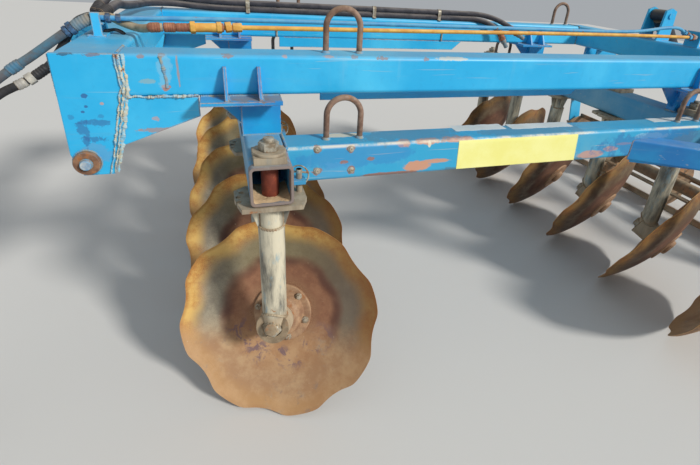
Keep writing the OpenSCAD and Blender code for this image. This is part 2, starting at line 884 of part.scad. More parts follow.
module stand_f1() { stand_front(0); }
module stand_f2() { stand_front(1); }
module stand_f3() { stand_front(2); }
module stand_f4() { stand_front(3); }
module stand_f5() { stand_front(4); }
module stand_r1() { stand_rear(0); }
module stand_r2() { stand_rear(1); }
module stand_r3() { stand_rear(2); }
module stand_r4() { stand_rear(3); }
module stand_r5() { stand_rear(4); }
module stand_r6() { stand_rear(5); }
module disc_f1() { disc_front(0); }
module disc_f2() { disc_front(1); }
module disc_f3() { disc_front(2); }
module disc_f4() { disc_front(3); }
module disc_f5() { disc_front(4); }
module disc_r1() { disc_rear(0); }
module disc_r2() { disc_rear(1); }
module disc_r3() { disc_rear(2); }
module disc_r4() { disc_rear(3); }
module disc_r5() { disc_rear(4); }
module disc_r6() { disc_rear(5); }

main_beam_left();
main_beam_right();
crossbeam_front();
crossbeam_rear();
hitch_left();
hitch_right();
top_link_lugs();
row_beam_front();
row_beam_rear();
side_beam_left();
side_beam_right();
outrigger_left();
outrigger_right();
risers_front();
risers_rear();
stand_f1();
stand_f2();
stand_f3();
stand_f4();
stand_f5();
stand_r1();
stand_r2();
stand_r3();
stand_r4();
stand_r5();
stand_r6();
disc_f1();
disc_f2();
disc_f3();
disc_f4();
disc_f5();
disc_r1();
disc_r2();
disc_r3();
disc_r4();
disc_r5();
disc_r6();
hose_post();
pipe_blue();
pipe_yellow();
pipe_coupler();
hose_couplers();
hose_low_a();
hose_low_b();
hose_mid();
hose_top_a();
hose_top_b();
roller_frame();
roller();
cylinder_barrel();
cylinder_rod();
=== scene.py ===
# %% [markdown]
# # Dressing a disc harrow
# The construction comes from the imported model: tubes, stands, axles and joints, each at its real place.
# This script adds what the eye looks for on an old working machine: chipped blue paint, rusted discs,
# nuts, weld beads, hoses and pipes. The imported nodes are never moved; a node is either given a better
# material or hidden behind a finer piece that stands for it.

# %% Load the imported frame
import math

import bmesh
import bpy
import numpy as np
from mathutils import Matrix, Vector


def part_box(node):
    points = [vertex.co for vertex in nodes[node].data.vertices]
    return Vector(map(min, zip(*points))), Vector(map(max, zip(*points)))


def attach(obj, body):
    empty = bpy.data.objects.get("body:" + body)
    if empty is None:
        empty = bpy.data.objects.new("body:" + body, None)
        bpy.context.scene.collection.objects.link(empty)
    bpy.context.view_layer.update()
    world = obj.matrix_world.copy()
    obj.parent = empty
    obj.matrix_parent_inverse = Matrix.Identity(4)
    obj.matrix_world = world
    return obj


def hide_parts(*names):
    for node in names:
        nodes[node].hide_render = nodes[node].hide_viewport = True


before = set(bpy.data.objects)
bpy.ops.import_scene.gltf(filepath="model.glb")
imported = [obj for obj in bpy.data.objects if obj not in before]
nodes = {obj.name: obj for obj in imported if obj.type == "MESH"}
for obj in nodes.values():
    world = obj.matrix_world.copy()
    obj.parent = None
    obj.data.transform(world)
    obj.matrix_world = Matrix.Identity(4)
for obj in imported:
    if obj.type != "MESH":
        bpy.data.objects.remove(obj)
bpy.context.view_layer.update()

# %% [markdown]
# The drawing of the machine counts its lengths in millimetres from the line of the front row of discs.
# One small function turns such a place into the frame's metres, so that a number in this script can be
# read beside the drawing. It takes single numbers and whole arrays alike.

# %% Places and sizes read from the frame
row_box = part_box("row_beam_front")
TUBE = 120
ROW_LINE_X = row_box[1].x - TUBE / 2000
MIDDLE_Y = (row_box[0].y + row_box[1].y) / 2
ROW_TOP = 964
MAIN_TOP = 1213
MAIN_OUT = 650
SIDE_OUT = 770
ROW_GAP = 1945
PITCH = 420
LEAN = math.radians(22)
ATTACK = math.radians(22)
HUB_Z = 344.45
COLLAR_MID = 33
DISH = 85.0
DISC_R = 355.0
DISC_T = 7.0


def place(x, y, z):
    """Millimetres from the front row's line, the middle and the floor, as metres in the frame."""
    metres = (np.divide(x, 1000) + ROW_LINE_X, np.divide(y, 1000) + MIDDLE_Y, np.divide(z, 1000))
    return np.stack(np.broadcast_arrays(*metres), -1)


TURNS_FRONT = (-4, 11, 27, 38, 5)
TURNS_REAR = (22.5, -9, 30, 3, 41, 22.5)
# name, row line, place across, side that the dish faces, turn of the disc on its axle in degrees
FRONT = [(f"f{i + 1}", 0, PITCH * (2 - i), 1, TURNS_FRONT[i]) for i in range(5)]
REAR = [(f"r{i + 1}", -ROW_GAP, PITCH * (2.5 - i), -1, TURNS_REAR[i]) for i in range(6)]
STANDS = FRONT + REAR
print("row line at", round(ROW_LINE_X, 4), "stands:", len(STANDS))

# %% [markdown]
# The camera stands where the photograph was taken from. Its place and its three axes were worked out from the
# straight lines of the frame and from the tubes' size, so the picture has the photograph's perspective.
# The shift only moves the picture's middle, because the photograph was cropped off its optical axis.

# %% Camera
CAMERA_PLACE = place(108, 1979, 1460)
CAMERA_RIGHT = np.array([-0.948, 0.310, 0.069])
CAMERA_UP = np.array([-0.0779, -0.4377, 0.8957])
FOCAL_PIXELS = 429.3
PICTURE_WIDTH = 700
PICTURE_HEIGHT = 465
AXIS_PIXEL = (370.0, 180.8)

camera_data = bpy.data.cameras.new("camera")
camera = bpy.data.objects.new("camera", camera_data)
bpy.context.scene.collection.objects.link(camera)
right = CAMERA_RIGHT / np.linalg.norm(CAMERA_RIGHT)
back = np.cross(right, CAMERA_UP)
back = back / np.linalg.norm(back)
up = np.cross(back, right)
rows = [[right[i], up[i], back[i], float(CAMERA_PLACE[i])] for i in range(3)]
camera.matrix_world = Matrix(rows + [[0, 0, 0, 1]])
camera_data.sensor_width = 36
camera_data.lens = FOCAL_PIXELS / PICTURE_WIDTH * camera_data.sensor_width
camera_data.shift_x = -(AXIS_PIXEL[0] - PICTURE_WIDTH / 2) / PICTURE_WIDTH
camera_data.shift_y = (AXIS_PIXEL[1] - PICTURE_HEIGHT / 2) / PICTURE_WIDTH
camera_data.clip_start = 0.05
bpy.context.scene.camera = camera
bpy.context.scene.view_settings.view_transform = "Standard"
print("lens", round(camera_data.lens, 2), "mm")

# %% [markdown]
# Every new piece is a grid of points bent into shape by a formula. A few helpers do most of the work:
# one numbers the faces of a grid, one sets points about an axis, and one measures the way along a line.

# %% Grid helpers


def grid_faces(rows, columns, close_rows=False, close_columns=False):
    """Corner numbers of the face between each pair of neighbouring rows and columns of a grid."""
    i = np.arange(rows if close_rows else rows - 1)
    j = np.arange(columns if close_columns else columns - 1)
    a, b = np.meshgrid(i, j, indexing="ij")
    a2 = (a + 1) % rows
    b2 = (b + 1) % columns
    corners = [a * columns + b, a2 * columns + b, a2 * columns + b2, a * columns + b2]
    return np.stack(corners, -1).reshape(-1, 4)


def axes_for(direction, hint=(0, 0, 1)):
    """Three unit axes, as the columns of a matrix, whose third one is the direction."""
    z = np.asarray(direction, float)
    z = z / np.linalg.norm(z)
    x = np.cross(hint, z)
    if np.linalg.norm(x) < 1e-3:
        x = np.cross((1, 0, 0), z)
    x = x / np.linalg.norm(x)
    return np.stack([x, np.cross(z, x), z], 1)


def around(radius, angle, height):
    """Points about the third axis: x = radius cos angle, y = radius sin angle, z = height."""
    points = (radius * np.cos(angle), radius * np.sin(angle), np.asarray(height, float))
    return np.stack(np.broadcast_arrays(*points), -1)


def gone_along(path):
    """The length gone along a line at each of its points, from 0 at the first one."""
    return np.concatenate([[0], np.cumsum(np.linalg.norm(np.diff(path, axis=0), axis=1))])


# %% [markdown]
# A pile collects such grids, so that a hundred bolts end up as one mesh. Its calls add a turned profile,
# a nut, a tube along a line, or a plate, and each may have its own paint, which is a number in the
# piece's list of finishes.

# %% The pile of grids


class Pile:
    """Grids of points collected into one mesh. Each grid may have a paint number and a UV pair a point."""

    def __init__(self):
        self.points, self.faces, self.paints, self.uvs = [], [], [], []
        self.count = 0

    def grid(self, points, close_rows=False, close_columns=False, paint=0, uv=None, flip=False):
        """Adds a grid of shape rows x columns x 3; flip turns its faces round."""
        rows, columns = points.shape[:2]
        faces = grid_faces(rows, columns, close_rows, close_columns) + self.count
        if flip:
            faces = faces[:, ::-1]
        flat = points.reshape(-1, 3)
        self.points.append(flat)
        self.faces.append(faces)
        self.paints.append(np.full(len(faces), paint))
        self.uvs.append(np.zeros((len(flat), 2)) if uv is None else uv.reshape(-1, 2))
        self.count += len(flat)

    def turned(self, profile, origin, direction, sides=32, paint=0, hint=(0, 0, 1)):
        """Turns a profile of (radius, height) pairs about an axis: x = r cos a, y = r sin a, z = height."""
        r, h = np.array(profile, float).T / 1000
        a = np.linspace(0, 2 * math.pi, sides, endpoint=False)[:, None]
        self.grid(around(r, a, h) @ axes_for(direction, hint).T + origin, close_rows=True, paint=paint)

    def prism(self, across, height, origin, direction, sides=6, chamfer=0.12, paint=0, hint=(0, 0, 1)):
        """A nut or bolt head. Its radius at angle a is apothem / cos(a within one flat), but no more
        than a chamfer circle that shrinks at both ends, which cuts the corners off as on a real nut."""
        apothem = across / 2000
        h = height / 1000
        step = 2 * math.pi / sides
        a = np.linspace(0, 2 * math.pi, sides * 6, endpoint=False)[:, None]
        flat = apothem / np.cos((a + step / 2) % step - step / 2)
        corner = apothem / math.cos(step / 2)
        cut = chamfer * apothem
        levels = [(0, 0), (corner - cut, 0), (corner, cut * 0.6), (corner, h - cut * 0.6),
                  (corner - cut, h), (0, h)]
        limit = np.array([r for r, _ in levels])[None, :]
        z = np.array([z for _, z in levels])[None, :]
        local = around(np.minimum(flat, limit), a, z)
        self.grid(local @ axes_for(direction, hint).T + origin, close_rows=True, paint=paint)

    def tube(self, path, radius, sides=12, paint=0, closed=False, ripple=0.0, ripple_length=0.004,
             squash=1.0):
        """A round section carried along a path. Each ring stands square to the path, and its first spoke
        is carried on from ring to ring, so that the tube doesn't twist. A ripple swells the radius
        by a sine of the length gone, which gives a weld bead its scales."""
        path = np.asarray(path, float)
        if closed:
            tangent = np.roll(path, -1, 0) - np.roll(path, 1, 0)
        else:
            tangent = np.gradient(path, axis=0)
        tangent = tangent / np.linalg.norm(tangent, axis=1)[:, None]
        spoke = axes_for(tangent[0])[:, 0]
        spokes = []
        for t in tangent:
            spoke = spoke - (spoke @ t) * t
            spoke = spoke / np.linalg.norm(spoke)
            spokes.append(spoke)
        spokes = np.array(spokes)
        other = np.cross(tangent, spokes)
        gone = gone_along(path)
        swell = 1 + ripple * np.sin(2 * math.pi * gone / ripple_length)
        r = np.broadcast_to(np.asarray(radius, float), gone.shape) * swell
        a = np.linspace(0, 2 * math.pi, sides, endpoint=False)
        ring = spokes[:, None] * np.cos(a)[None, :, None] + squash * other[:, None] * np.sin(a)[None, :, None]
        points = path[:, None] + ring * r[:, None, None]
        uv = np.stack(np.broadcast_arrays(gone[:, None], (a * 0.02)[None, :]), -1)
        self.grid(points, close_rows=closed, close_columns=True, paint=paint, uv=uv)
        if not closed:
            for end, flip in ((0, False), (-1, True)):
                cap = np.stack([points[end], np.broadcast_to(path[end], points[end].shape)])
                self.grid(cap, close_columns=True, paint=paint, flip=flip, uv=np.zeros((2, sides, 2)))

    def slab(self, outline, thickness, origin, axes, bevel=0.0008, paint=0):
        """A plate: an outline in two axes, lifted along the third. The outline shrinks by the bevel at
        both faces, so that its edges catch the light."""
        outline = np.asarray(outline, float)
        middle = outline.mean(0)
        size = np.linalg.norm(outline - middle, axis=1).mean()
        levels = [(0, 0), (1 - bevel / size, 0), (1, bevel), (1, thickness - bevel),
                  (1 - bevel / size, thickness), (0, thickness)]
        rings = [np.column_stack([middle + (outline - middle) * k, np.full(len(outline), z)])
                 for k, z in levels]
        local = np.stack(rings, 1)
        self.grid(local @ np.asarray(axes).T + origin, close_rows=True, paint=paint)

    def build(self, name, body, finishes, smooth_angle=35.0):
        """Puts the pile into one mesh, closes its seams and poles, and lets it ride on a body."""
        mesh = bpy.data.meshes.new(name)
        points = np.concatenate(self.points)
        faces = np.concatenate(self.faces)
        mesh.vertices.add(len(points))
        mesh.vertices.foreach_set("co", points.astype(np.float32).ravel())
        mesh.loops.add(faces.size)
        mesh.loops.foreach_set("vertex_index", faces.astype(np.int32).ravel())
        mesh.polygons.add(len(faces))
        mesh.polygons.foreach_set("loop_start", np.arange(0, faces.size, 4, dtype=np.int32))
        mesh.update(calc_edges=True)
        layer = mesh.uv_layers.new(name="UVMap")
        layer.data.foreach_set("uv", np.concatenate(self.uvs)[faces.ravel()].astype(np.float32).ravel())
        mesh.polygons.foreach_set("material_index", np.concatenate(self.paints).astype(np.int32))
        work = bmesh.new()
        work.from_mesh(mesh)
        bmesh.ops.remove_doubles(work, verts=work.verts, dist=2e-6)
        bmesh.ops.dissolve_degenerate(work, edges=work.edges, dist=1e-7)
        work.to_mesh(mesh)
        work.free()
        mesh.polygons.foreach_set("use_smooth", np.ones(len(mesh.polygons), dtype=bool))
        mesh.set_sharp_from_angle(angle=math.radians(smooth_angle))
        for finish in finishes:
            mesh.materials.append(finish)
        piece = bpy.data.objects.new(name, mesh)
        bpy.context.scene.collection.objects.link(piece)
        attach(piece, body)
        print(name, "faces:", len(mesh.polygons))
        return piece


# %% [markdown]
# A finish is a tree of small nodes. The class below gives each kind of node a short call, so that a
# material reads like a recipe: a noise, a limit, a mix. Effects that several finishes share are node
# groups, built once: how edges wear, where rust breaks out, and where dust settles.

# %% Recipes for materials


class Recipe:
    """Short calls that add nodes to a tree and return the socket that the next call needs."""

    def __init__(self, tree):
        self.tree = tree

    def feed(self, socket, value):
        """Links another node's socket into this one, or gives it a fixed value."""
        if isinstance(value, bpy.types.NodeSocket):
            self.tree.links.new(value, socket)
        else:
            socket.default_value = value

    def node(self, kind, settings=None, **inputs):
        """A new node. An input is named by its label, or by the letter i and its number."""
        made = self.tree.nodes.new(kind)
        for name, value in (settings or {}).items():
            setattr(made, name, value)
        for name, value in inputs.items():
            numbered = name[0] == "i" and name[1:].isdigit()
            self.feed(made.inputs[int(name[1:]) if numbered else name.replace("_", " ")], value)
        return made

    def place(self):
        """The point's place in the object, which is its place in the frame in metres."""
        if not hasattr(self, "object_place"):
            self.object_place = self.node("ShaderNodeTexCoord").outputs["Object"]
        return self.object_place

    def split(self, vector):
        """The three numbers of a vector, or of a colour, as sockets."""
        return self.node("ShaderNodeSeparateXYZ", Vector=vector).outputs

    def stretched(self, vector, scale):
        """The vector times a scale of its own along each axis."""
        return self.node("ShaderNodeMapping", Vector=vector, Scale=scale).outputs[0]

    def noise(self, scale, detail=4.0, roughness=0.55, vector=None, distortion=0.0):
        """Cloudy noise from 0 to 1, at the point's place or at the vector."""
        made = self.node("ShaderNodeTexNoise", Vector=vector or self.place(), Scale=scale, Detail=detail,
                         Roughness=roughness, Distortion=distortion)
        return made.outputs["Fac"]

    def limit(self, value, low, high, to_low=0.0, to_high=1.0):
        """Goes smoothly from to_low to to_high as the value goes from low to high."""
        made = self.node("ShaderNodeMapRange", {"interpolation_type": "SMOOTHSTEP"}, i0=value, i1=low,
                         i2=high, i3=to_low, i4=to_high)
        return made.outputs[0]

    def calc(self, operation, a, b=0.0):
        """One step of arithmetic on two numbers or sockets."""
        return self.node("ShaderNodeMath", {"operation": operation}, i0=a, i1=b).outputs[0]

    def times(self, a, b):
        """a times b."""
        return self.calc("MULTIPLY", a, b)

    def plus(self, a, b):
        """a plus b."""
        return self.calc("ADD", a, b)

    def minus(self, a, b):
        """a minus b."""
        return self.calc("SUBTRACT", a, b)

    def greater(self, a, b):
        """The greater one of a and b."""
        return self.calc("MAXIMUM", a, b)

    def mix(self, factor, a, b):
        """Colour a where the factor is 0, colour b where it is 1."""
        return self.node("ShaderNodeMix", {"data_type": "RGBA"}, i0=factor, i6=a, i7=b).outputs[2]

    def blend(self, factor, a, b):
        """Number a where the factor is 0, number b where it is 1."""
        return self.node("ShaderNodeMix", {"data_type": "FLOAT"}, i0=factor, i2=a, i3=b).outputs[0]

    def tinted(self, colour, mask, strength, tint):
        """The colour with a tint laid over it where the mask is, as strong as said."""
        return self.mix(self.times(mask, strength), colour, tint)

    def group(self, group, **inputs):
        """The outputs of a group of nodes, with its inputs fed."""
        return self.node("ShaderNodeGroup", {"node_tree": group}, **inputs).outputs


def srgb(red, green, blue):
    """A colour as it looks on a screen, 0 to 255, turned into the linear colour that a shader takes."""
    c = np.array([red, green, blue]) / 255
    linear = np.where(c <= 0.04045, c / 12.92, ((c + 0.055) / 1.055) ** 2.4)
    return (*[float(x) for x in linear], 1.0)


def new_group(name, inputs, outputs):
    """An empty shader node group with named sockets, and the recipe, inputs and output node to fill it."""
    group = bpy.data.node_groups.new(name, "ShaderNodeTree")
    for socket, default in inputs.items():
        made = group.interface.new_socket(name=socket, in_out="INPUT", socket_type="NodeSocketFloat")
        made.default_value = default
    for socket, kind in outputs.items():
        group.interface.new_socket(name=socket, in_out="OUTPUT", socket_type=kind)
    recipe = Recipe(group)
    entry = group.nodes.new("NodeGroupInput").outputs
    result = group.nodes.new("NodeGroupOutput").inputs
    return group, recipe, entry, result


# %% [markdown]
# Paint leaves a steel frame at its edges first. A Bevel node looks a few millimetres around each point:
# where the rounded normal leans away from the true one, an edge is near. Multiplied by noise, that turns
# into broken, chipped lines instead of an even stripe.

# %% Edge wear group
WEAR, r, entry, result = new_group(
    "edge_wear", {"Width": 0.004, "Amount": 0.5, "Scale": 60.0}, {"Mask": "NodeSocketFloat"})
rounded_normal = r.node("ShaderNodeBevel", {"samples": 4}, Radius=entry["Width"]).outputs[0]
true_normal = r.node("ShaderNodeNewGeometry").outputs["Normal"]
alike = r.node("ShaderNodeVectorMath", {"operation": "DOT_PRODUCT"}, i0=rounded_normal, i1=true_normal)
near_edge = r.limit(alike.outputs["Value"], 0.995, 0.80)
patchy = r.noise(entry["Scale"], 6.0, 0.65)
broad = r.limit(r.noise(r.times(entry["Scale"], 0.16), 3.0, 0.5), 0.42, 0.60, -0.35, 0.15)
patchy = r.plus(patchy, broad)
threshold = r.minus(0.80, r.times(entry["Amount"], 0.5))
chipped = r.times(near_edge, r.plus(patchy, 0.35))
r.feed(result["Mask"], r.limit(chipped, threshold, r.plus(threshold, 0.12)))

# %% [markdown]
# Rust breaks out in blotches with ragged rims. Two noises of different size are added; the amount says
# how low the threshold lies, so 0 gives none and 1 covers nearly all. The colour runs from dark brown
# in the blotch's middle to orange at its rim.

# %% Rust group
RUST, r, entry, result = new_group(
    "rust", {"Amount": 0.3, "Scale": 12.0},
    {"Mask": "NodeSocketFloat", "Colour": "NodeSocketColor", "Height": "NodeSocketFloat"})
large = r.noise(entry["Scale"], 7.0, 0.68)
fine = r.noise(r.times(entry["Scale"], 14.0), 5.0, 0.6)
field = r.plus(r.times(large, 0.82), r.times(fine, 0.18))
start = r.minus(0.72, r.times(entry["Amount"], 0.45))
r.feed(result["Mask"], r.limit(field, start, r.plus(start, 0.05)))
deep = r.limit(field, r.plus(start, 0.02), r.plus(start, 0.18))
tint = r.mix(deep, srgb(176, 112, 58), srgb(104, 64, 42))
r.feed(result["Colour"], r.mix(r.limit(fine, 0.40, 0.62), tint, srgb(150, 104, 70)))
r.feed(result["Height"], r.times(fine, deep))

# %% [markdown]
# Dust lies on what faces up and is thicker near the soil. The mask takes the upward part of the normal,
# breaks it with noise, and adds a little for low places.

# %% Dust group
DUST, r, entry, result = new_group("dust", {"Amount": 0.5, "Low": 0.3}, {"Mask": "NodeSocketFloat"})
upward = r.split(r.node("ShaderNodeNewGeometry").outputs["Normal"])[2]
lying = r.limit(upward, 0.25, 0.95)
height = r.split(r.place())[2]
low = r.times(r.limit(height, 0.75, 0.10), entry["Low"])
cloudy = r.noise(7.0, 6.0, 0.62)
grains = r.noise(260.0, 3.0, 0.6)
cover = r.plus(r.times(lying, entry["Amount"]), low)
cover = r.times(cover, r.limit(cloudy, 0.30, 0.66, 0.25, 1.0))
r.feed(result["Mask"], r.times(cover, r.limit(grains, 0.25, 0.7, 0.7, 1.0)))

# %% [markdown]
# Some marks sit at known places, such as the rust scabs on the side beam. A spot is an ellipsoid whose
# rim is pushed in and out by noise; it gives a mask that is 1 inside and falls to 0 at that rim.

# %% Spots and finishes


def spot(r, centre, size, ragged=0.9, scale=26.0):
    """Mask of a ragged ellipsoid: 1 - |p - centre| / size, plus noise, cut at 0."""
    centred = r.node("ShaderNodeVectorMath", {"operation": "SUBTRACT"}, i0=r.place(), i1=tuple(centre))
    scaled = r.node("ShaderNodeVectorMath", {"operation": "DIVIDE"}, i0=centred.outputs[0], i1=size).outputs[0]
    away = r.node("ShaderNodeVectorMath", {"operation": "LENGTH"}, i0=scaled).outputs["Value"]
    rough = r.times(r.minus(r.noise(scale, 6.0, 0.7), 0.5), ragged * 2.6)
    return r.limit(r.plus(r.minus(1.0, away), rough), 0.0, 0.22)


def new_finish(name):
    """A material with an empty recipe and its Principled shader."""
    finish = bpy.data.materials.new(name)
    finish.use_nodes = True
    finish.node_tree.nodes.clear()
    r = Recipe(finish.node_tree)
    shader = r.node("ShaderNodeBsdfPrincipled")
    output = r.node("ShaderNodeOutputMaterial")
    r.feed(output.inputs[0], shader.outputs[0])
    return finish, r, shader


def close_finish(r, shader, colour, roughness, height, strength, distance, edge, metallic=None):
    """Links colour, roughness, height and what is bare metal. Where an edge radius is given, a Bevel node
    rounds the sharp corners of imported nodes."""
    r.feed(shader.inputs["Base Color"], colour)
    r.feed(shader.inputs["Roughness"], roughness)
    if metallic is not None:
        r.feed(shader.inputs["Metallic"], metallic)
    bump = r.node("ShaderNodeBump", Strength=strength, Distance=distance, Height=height)
    if edge:
        r.feed(bump.inputs["Normal"], r.node("ShaderNodeBevel", {"samples": 4}, Radius=edge).outputs[0])
    r.feed(shader.inputs["Normal"], bump.outputs[0])


# %% [markdown]
# The frame's paint is a strong sky blue that has faded in clouds, lost its film along edges and at
# scabs, and carries a pale film of dust on its upper faces. Each layer is mixed over the one before:
# fresh blue, faded blue, grey undercoat, rust, dust.

# %% Frame paint


def frame_paint(name, fresh, faded, wear, rust, dust, marks=(), scratches=0.4, worn_glint_edge=None):
    """Blue paint with faded clouds, chips, rust scabs, fine scratches and dust. A mark is a place, a size,
    a colour, a strength, and how ragged and how fine its rim is. A worn glint edge is the place across and
    the height of a corner whose paint is worn to a pale line, which is also a painted highlight."""
    finish, r, shader = new_finish(name)
    colour = r.mix(r.limit(r.noise(2.2, 5.0, 0.6), 0.35, 0.68), fresh, faded)
    colour = r.tinted(colour, r.limit(r.noise(34.0, 6.0, 0.7), 0.5, 0.75), 0.16, srgb(32, 120, 186))
    streaks = r.noise(9.0, 5.0, 0.6, r.stretched(r.place(), (0.25, 0.25, 2.6)), 0.4)
    colour = r.tinted(colour, r.limit(streaks, 0.55, 0.8), 0.28, srgb(134, 172, 190))
    runs = r.noise(16.0, 4.0, 0.6, r.stretched(r.place(), (1.0, 1.0, 0.12)), 0.2)
    colour = r.tinted(colour, r.limit(runs, 0.60, 0.74), 0.18, srgb(150, 200, 222))
    lines = r.noise(60.0, 3.0, 0.5, r.stretched(r.place(), (0.05, 0.6, 1.0)), 1.2)
    colour = r.tinted(colour, r.limit(lines, 0.66, 0.72), scratches, srgb(176, 186, 184))
    edge = r.group(WEAR, Width=0.008, Amount=wear, Scale=24.0)["Mask"]
    blotch = r.group(RUST, Amount=rust, Scale=9.0)
    mask = r.greater(edge, r.times(blotch["Mask"], 0.8))
    undercoat = r.limit(r.noise(46.0, 5.0, 0.65), 0.42, 0.56)
    bare = r.mix(undercoat, blotch["Colour"], srgb(190, 170, 146))
    colour = r.mix(mask, colour, bare)
    film = mask
    for centre, size, tint, strength, ragged, fine in marks:
        mark = spot(r, centre, size, ragged, fine)
        colour = r.tinted(colour, mark, strength, tint)
        film = r.greater(film, r.times(mark, strength * 0.8))
    # Painted highlight: a pale cream line along the corner stands for worn paint and a glint of light together.
    if worn_glint_edge is not None:
        y, z = worn_glint_edge
        _, across, up = r.split(r.place())
        near = r.times(r.limit(across, y - 0.012, y - 0.004), r.limit(up, z - 0.012, z - 0.004))
        near = r.times(near, r.limit(r.noise(9.0, 6.0, 0.7), 0.40, 0.58, 0.0, 0.8))
        colour = r.mix(near, colour, srgb(236, 226, 204))
    dusty = r.group(DUST, Amount=dust, Low=0.2)["Mask"]
    colour = r.tinted(colour, dusty, 0.8, srgb(150, 164, 172))
    roughness = r.blend(r.greater(film, dusty), 0.42, 0.85)
    height = r.minus(r.times(blotch["Height"], 0.4), r.times(film, 0.6))
    peel = r.times(r.noise(150.0, 3.0, 0.5), 0.16)
    close_finish(r, shader, colour, roughness, r.plus(height, peel), 0.5, 0.0012, 0.0035)
    shader.inputs["Coat Weight"].default_value = 0.10
    shader.inputs["Coat Roughness"].default_value = 0.25
    return finish


# %% [markdown]
# The marks on the near beams are placed by the machine's own measures. A row of the tables
# below is a mark on an upright face: its place along and its height in millimetres, its width and
# height in metres, its colour and strength, and how ragged and how fine its rim is. The corners' marks
# come from the same tables, because an ellipsoid on the edge shows on both faces.

# %% Marks on the paint
BLUE = srgb(30, 176, 232)
BLUE_FADED = srgb(74, 200, 246)
BLUE_SIDE = srgb(46, 166, 212)
BLUE_SIDE_FADED = srgb(92, 172, 204)
BLUE_SHADED = srgb(24, 126, 200)
TAN = srgb(206, 150, 118)
PINKISH = srgb(188, 152, 142)
RUSTY = srgb(158, 104, 72)
CREAM = srgb(222, 214, 190)
INK = srgb(46, 96, 156)
MARK_DEPTH = 0.03


def on_face(y, rows):
    """The marks of one upright face that lies at y."""
    return [(place(x, y, z), (width, MARK_DEPTH, height), *look) for x, z, width, height, *look in rows]


side_marks = on_face(SIDE_OUT, [
    (-497, 872, 0.058, 0.020, TAN, 0.95, 0.55, 18.0),
    (-572, 887, 0.062, 0.0085, TAN, 0.9, 0.6, 26.0),
    (-400, 851, 0.120, 0.008, RUSTY, 0.85, 0.6, 26.0),
    (-441, 958, 0.028, 0.016, TAN, 0.8, 0.9, 40.0),
    (-530, 960, 0.060, 0.012, TAN, 0.85, 0.9, 40.0),
    (-640, 961, 0.080, 0.009, TAN, 0.85, 0.9, 40.0),
    (-537, 951, 0.007, 0.014, CREAM, 1.0, 0.3, 60.0),
    (-1250, 868, 0.085, 0.018, PINKISH, 0.95, 0.5, 16.0),
    (-1345, 886, 0.050, 0.014, PINKISH, 0.95, 0.5, 22.0),
    (-1417, 905, 0.045, 0.006, PINKISH, 0.7, 0.8, 40.0),
    (-1540, 932, 0.110, 0.014, srgb(160, 200, 214), 0.55, 1.0, 30.0),
    (-1560, 905, 0.300, 0.060, srgb(40, 110, 174), 0.60, 0.9, 9.0),
    (-300, 925, 0.200, 0.040, srgb(44, 126, 196), 0.45, 1.0, 9.0),
    (-1780, 885, 0.150, 0.055, srgb(112, 128, 134), 0.35, 1.2, 10.0),
    (-900, 853, 0.300, 0.010, srgb(96, 118, 130), 0.6, 1.0, 14.0),
])
side_marks += [
    (place(-500, 720, ROW_TOP), (0.200, 0.08, 0.02), srgb(96, 128, 148), 0.5, 1.2, 10.0),
    (place(-1000, 720, ROW_TOP), (0.250, 0.08, 0.02), srgb(96, 128, 148), 0.5, 1.2, 10.0),
]
side_marks += on_face(SIDE_OUT, [
    (-240, 905, 0.016, 0.007, RUSTY, 0.8, 0.9, 50.0),
    (-330, 912, 0.014, 0.007, RUSTY, 0.8, 0.9, 50.0),
])
side_marks += [
    (place(-256, 682, ROW_TOP), (0.070, 0.022, 0.02), CREAM, 0.9, 0.6, 22.0),
]
side_marks += on_face(SIDE_OUT, [
    (-205, 875, 0.060, 0.040, srgb(90, 160, 214), 0.35, 1.1, 30.0),
    (-153, 953, 0.014, 0.014, RUSTY, 0.8, 0.7, 60.0),
    (-263, 950, 0.015, 0.014, RUSTY, 0.8, 0.7, 60.0),
    (-153, 881, 0.016, 0.015, RUSTY, 0.8, 0.7, 60.0),
    (-265, 876, 0.014, 0.016, RUSTY, 0.8, 0.7, 60.0),
])
main_marks = on_face(MAIN_OUT, [
    (315, 1207, 0.011, 0.006, RUSTY, 0.68, 1.2, 78.0),
    (265, 1209, 0.010, 0.007, RUSTY, 0.68, 1.2, 78.0),
    (90, 1209, 0.018, 0.006, RUSTY, 0.68, 1.3, 78.0),
    (-76, 1210, 0.008, 0.005, TAN, 0.59, 1.2, 78.0),
    (-214, 1211, 0.021, 0.005, TAN, 0.59, 1.2, 78.0),
    (-294, 1211, 0.015, 0.005, RUSTY, 0.59, 1.2, 78.0),
    (-388, 1208, 0.024, 0.006, RUSTY, 0.68, 1.2, 78.0),
    (-545, 1206, 0.014, 0.006, RUSTY, 0.68, 1.2, 78.0),
    (-640, 1208, 0.070, 0.006, CREAM, 0.7, 0.9, 50.0),
    (225, 1168, 0.0035, 0.052, srgb(186, 128, 80), 0.6, 0.6, 70.0),
    (263, 1120, 0.014, 0.010, srgb(186, 112, 62), 0.8, 0.9, 60.0),
    (306, 1138, 0.026, 0.008, srgb(150, 176, 170), 0.6, 0.8, 50.0),
    (261, 1168, 0.020, 0.055, srgb(140, 196, 222), 0.45, 0.8, 40.0),
])
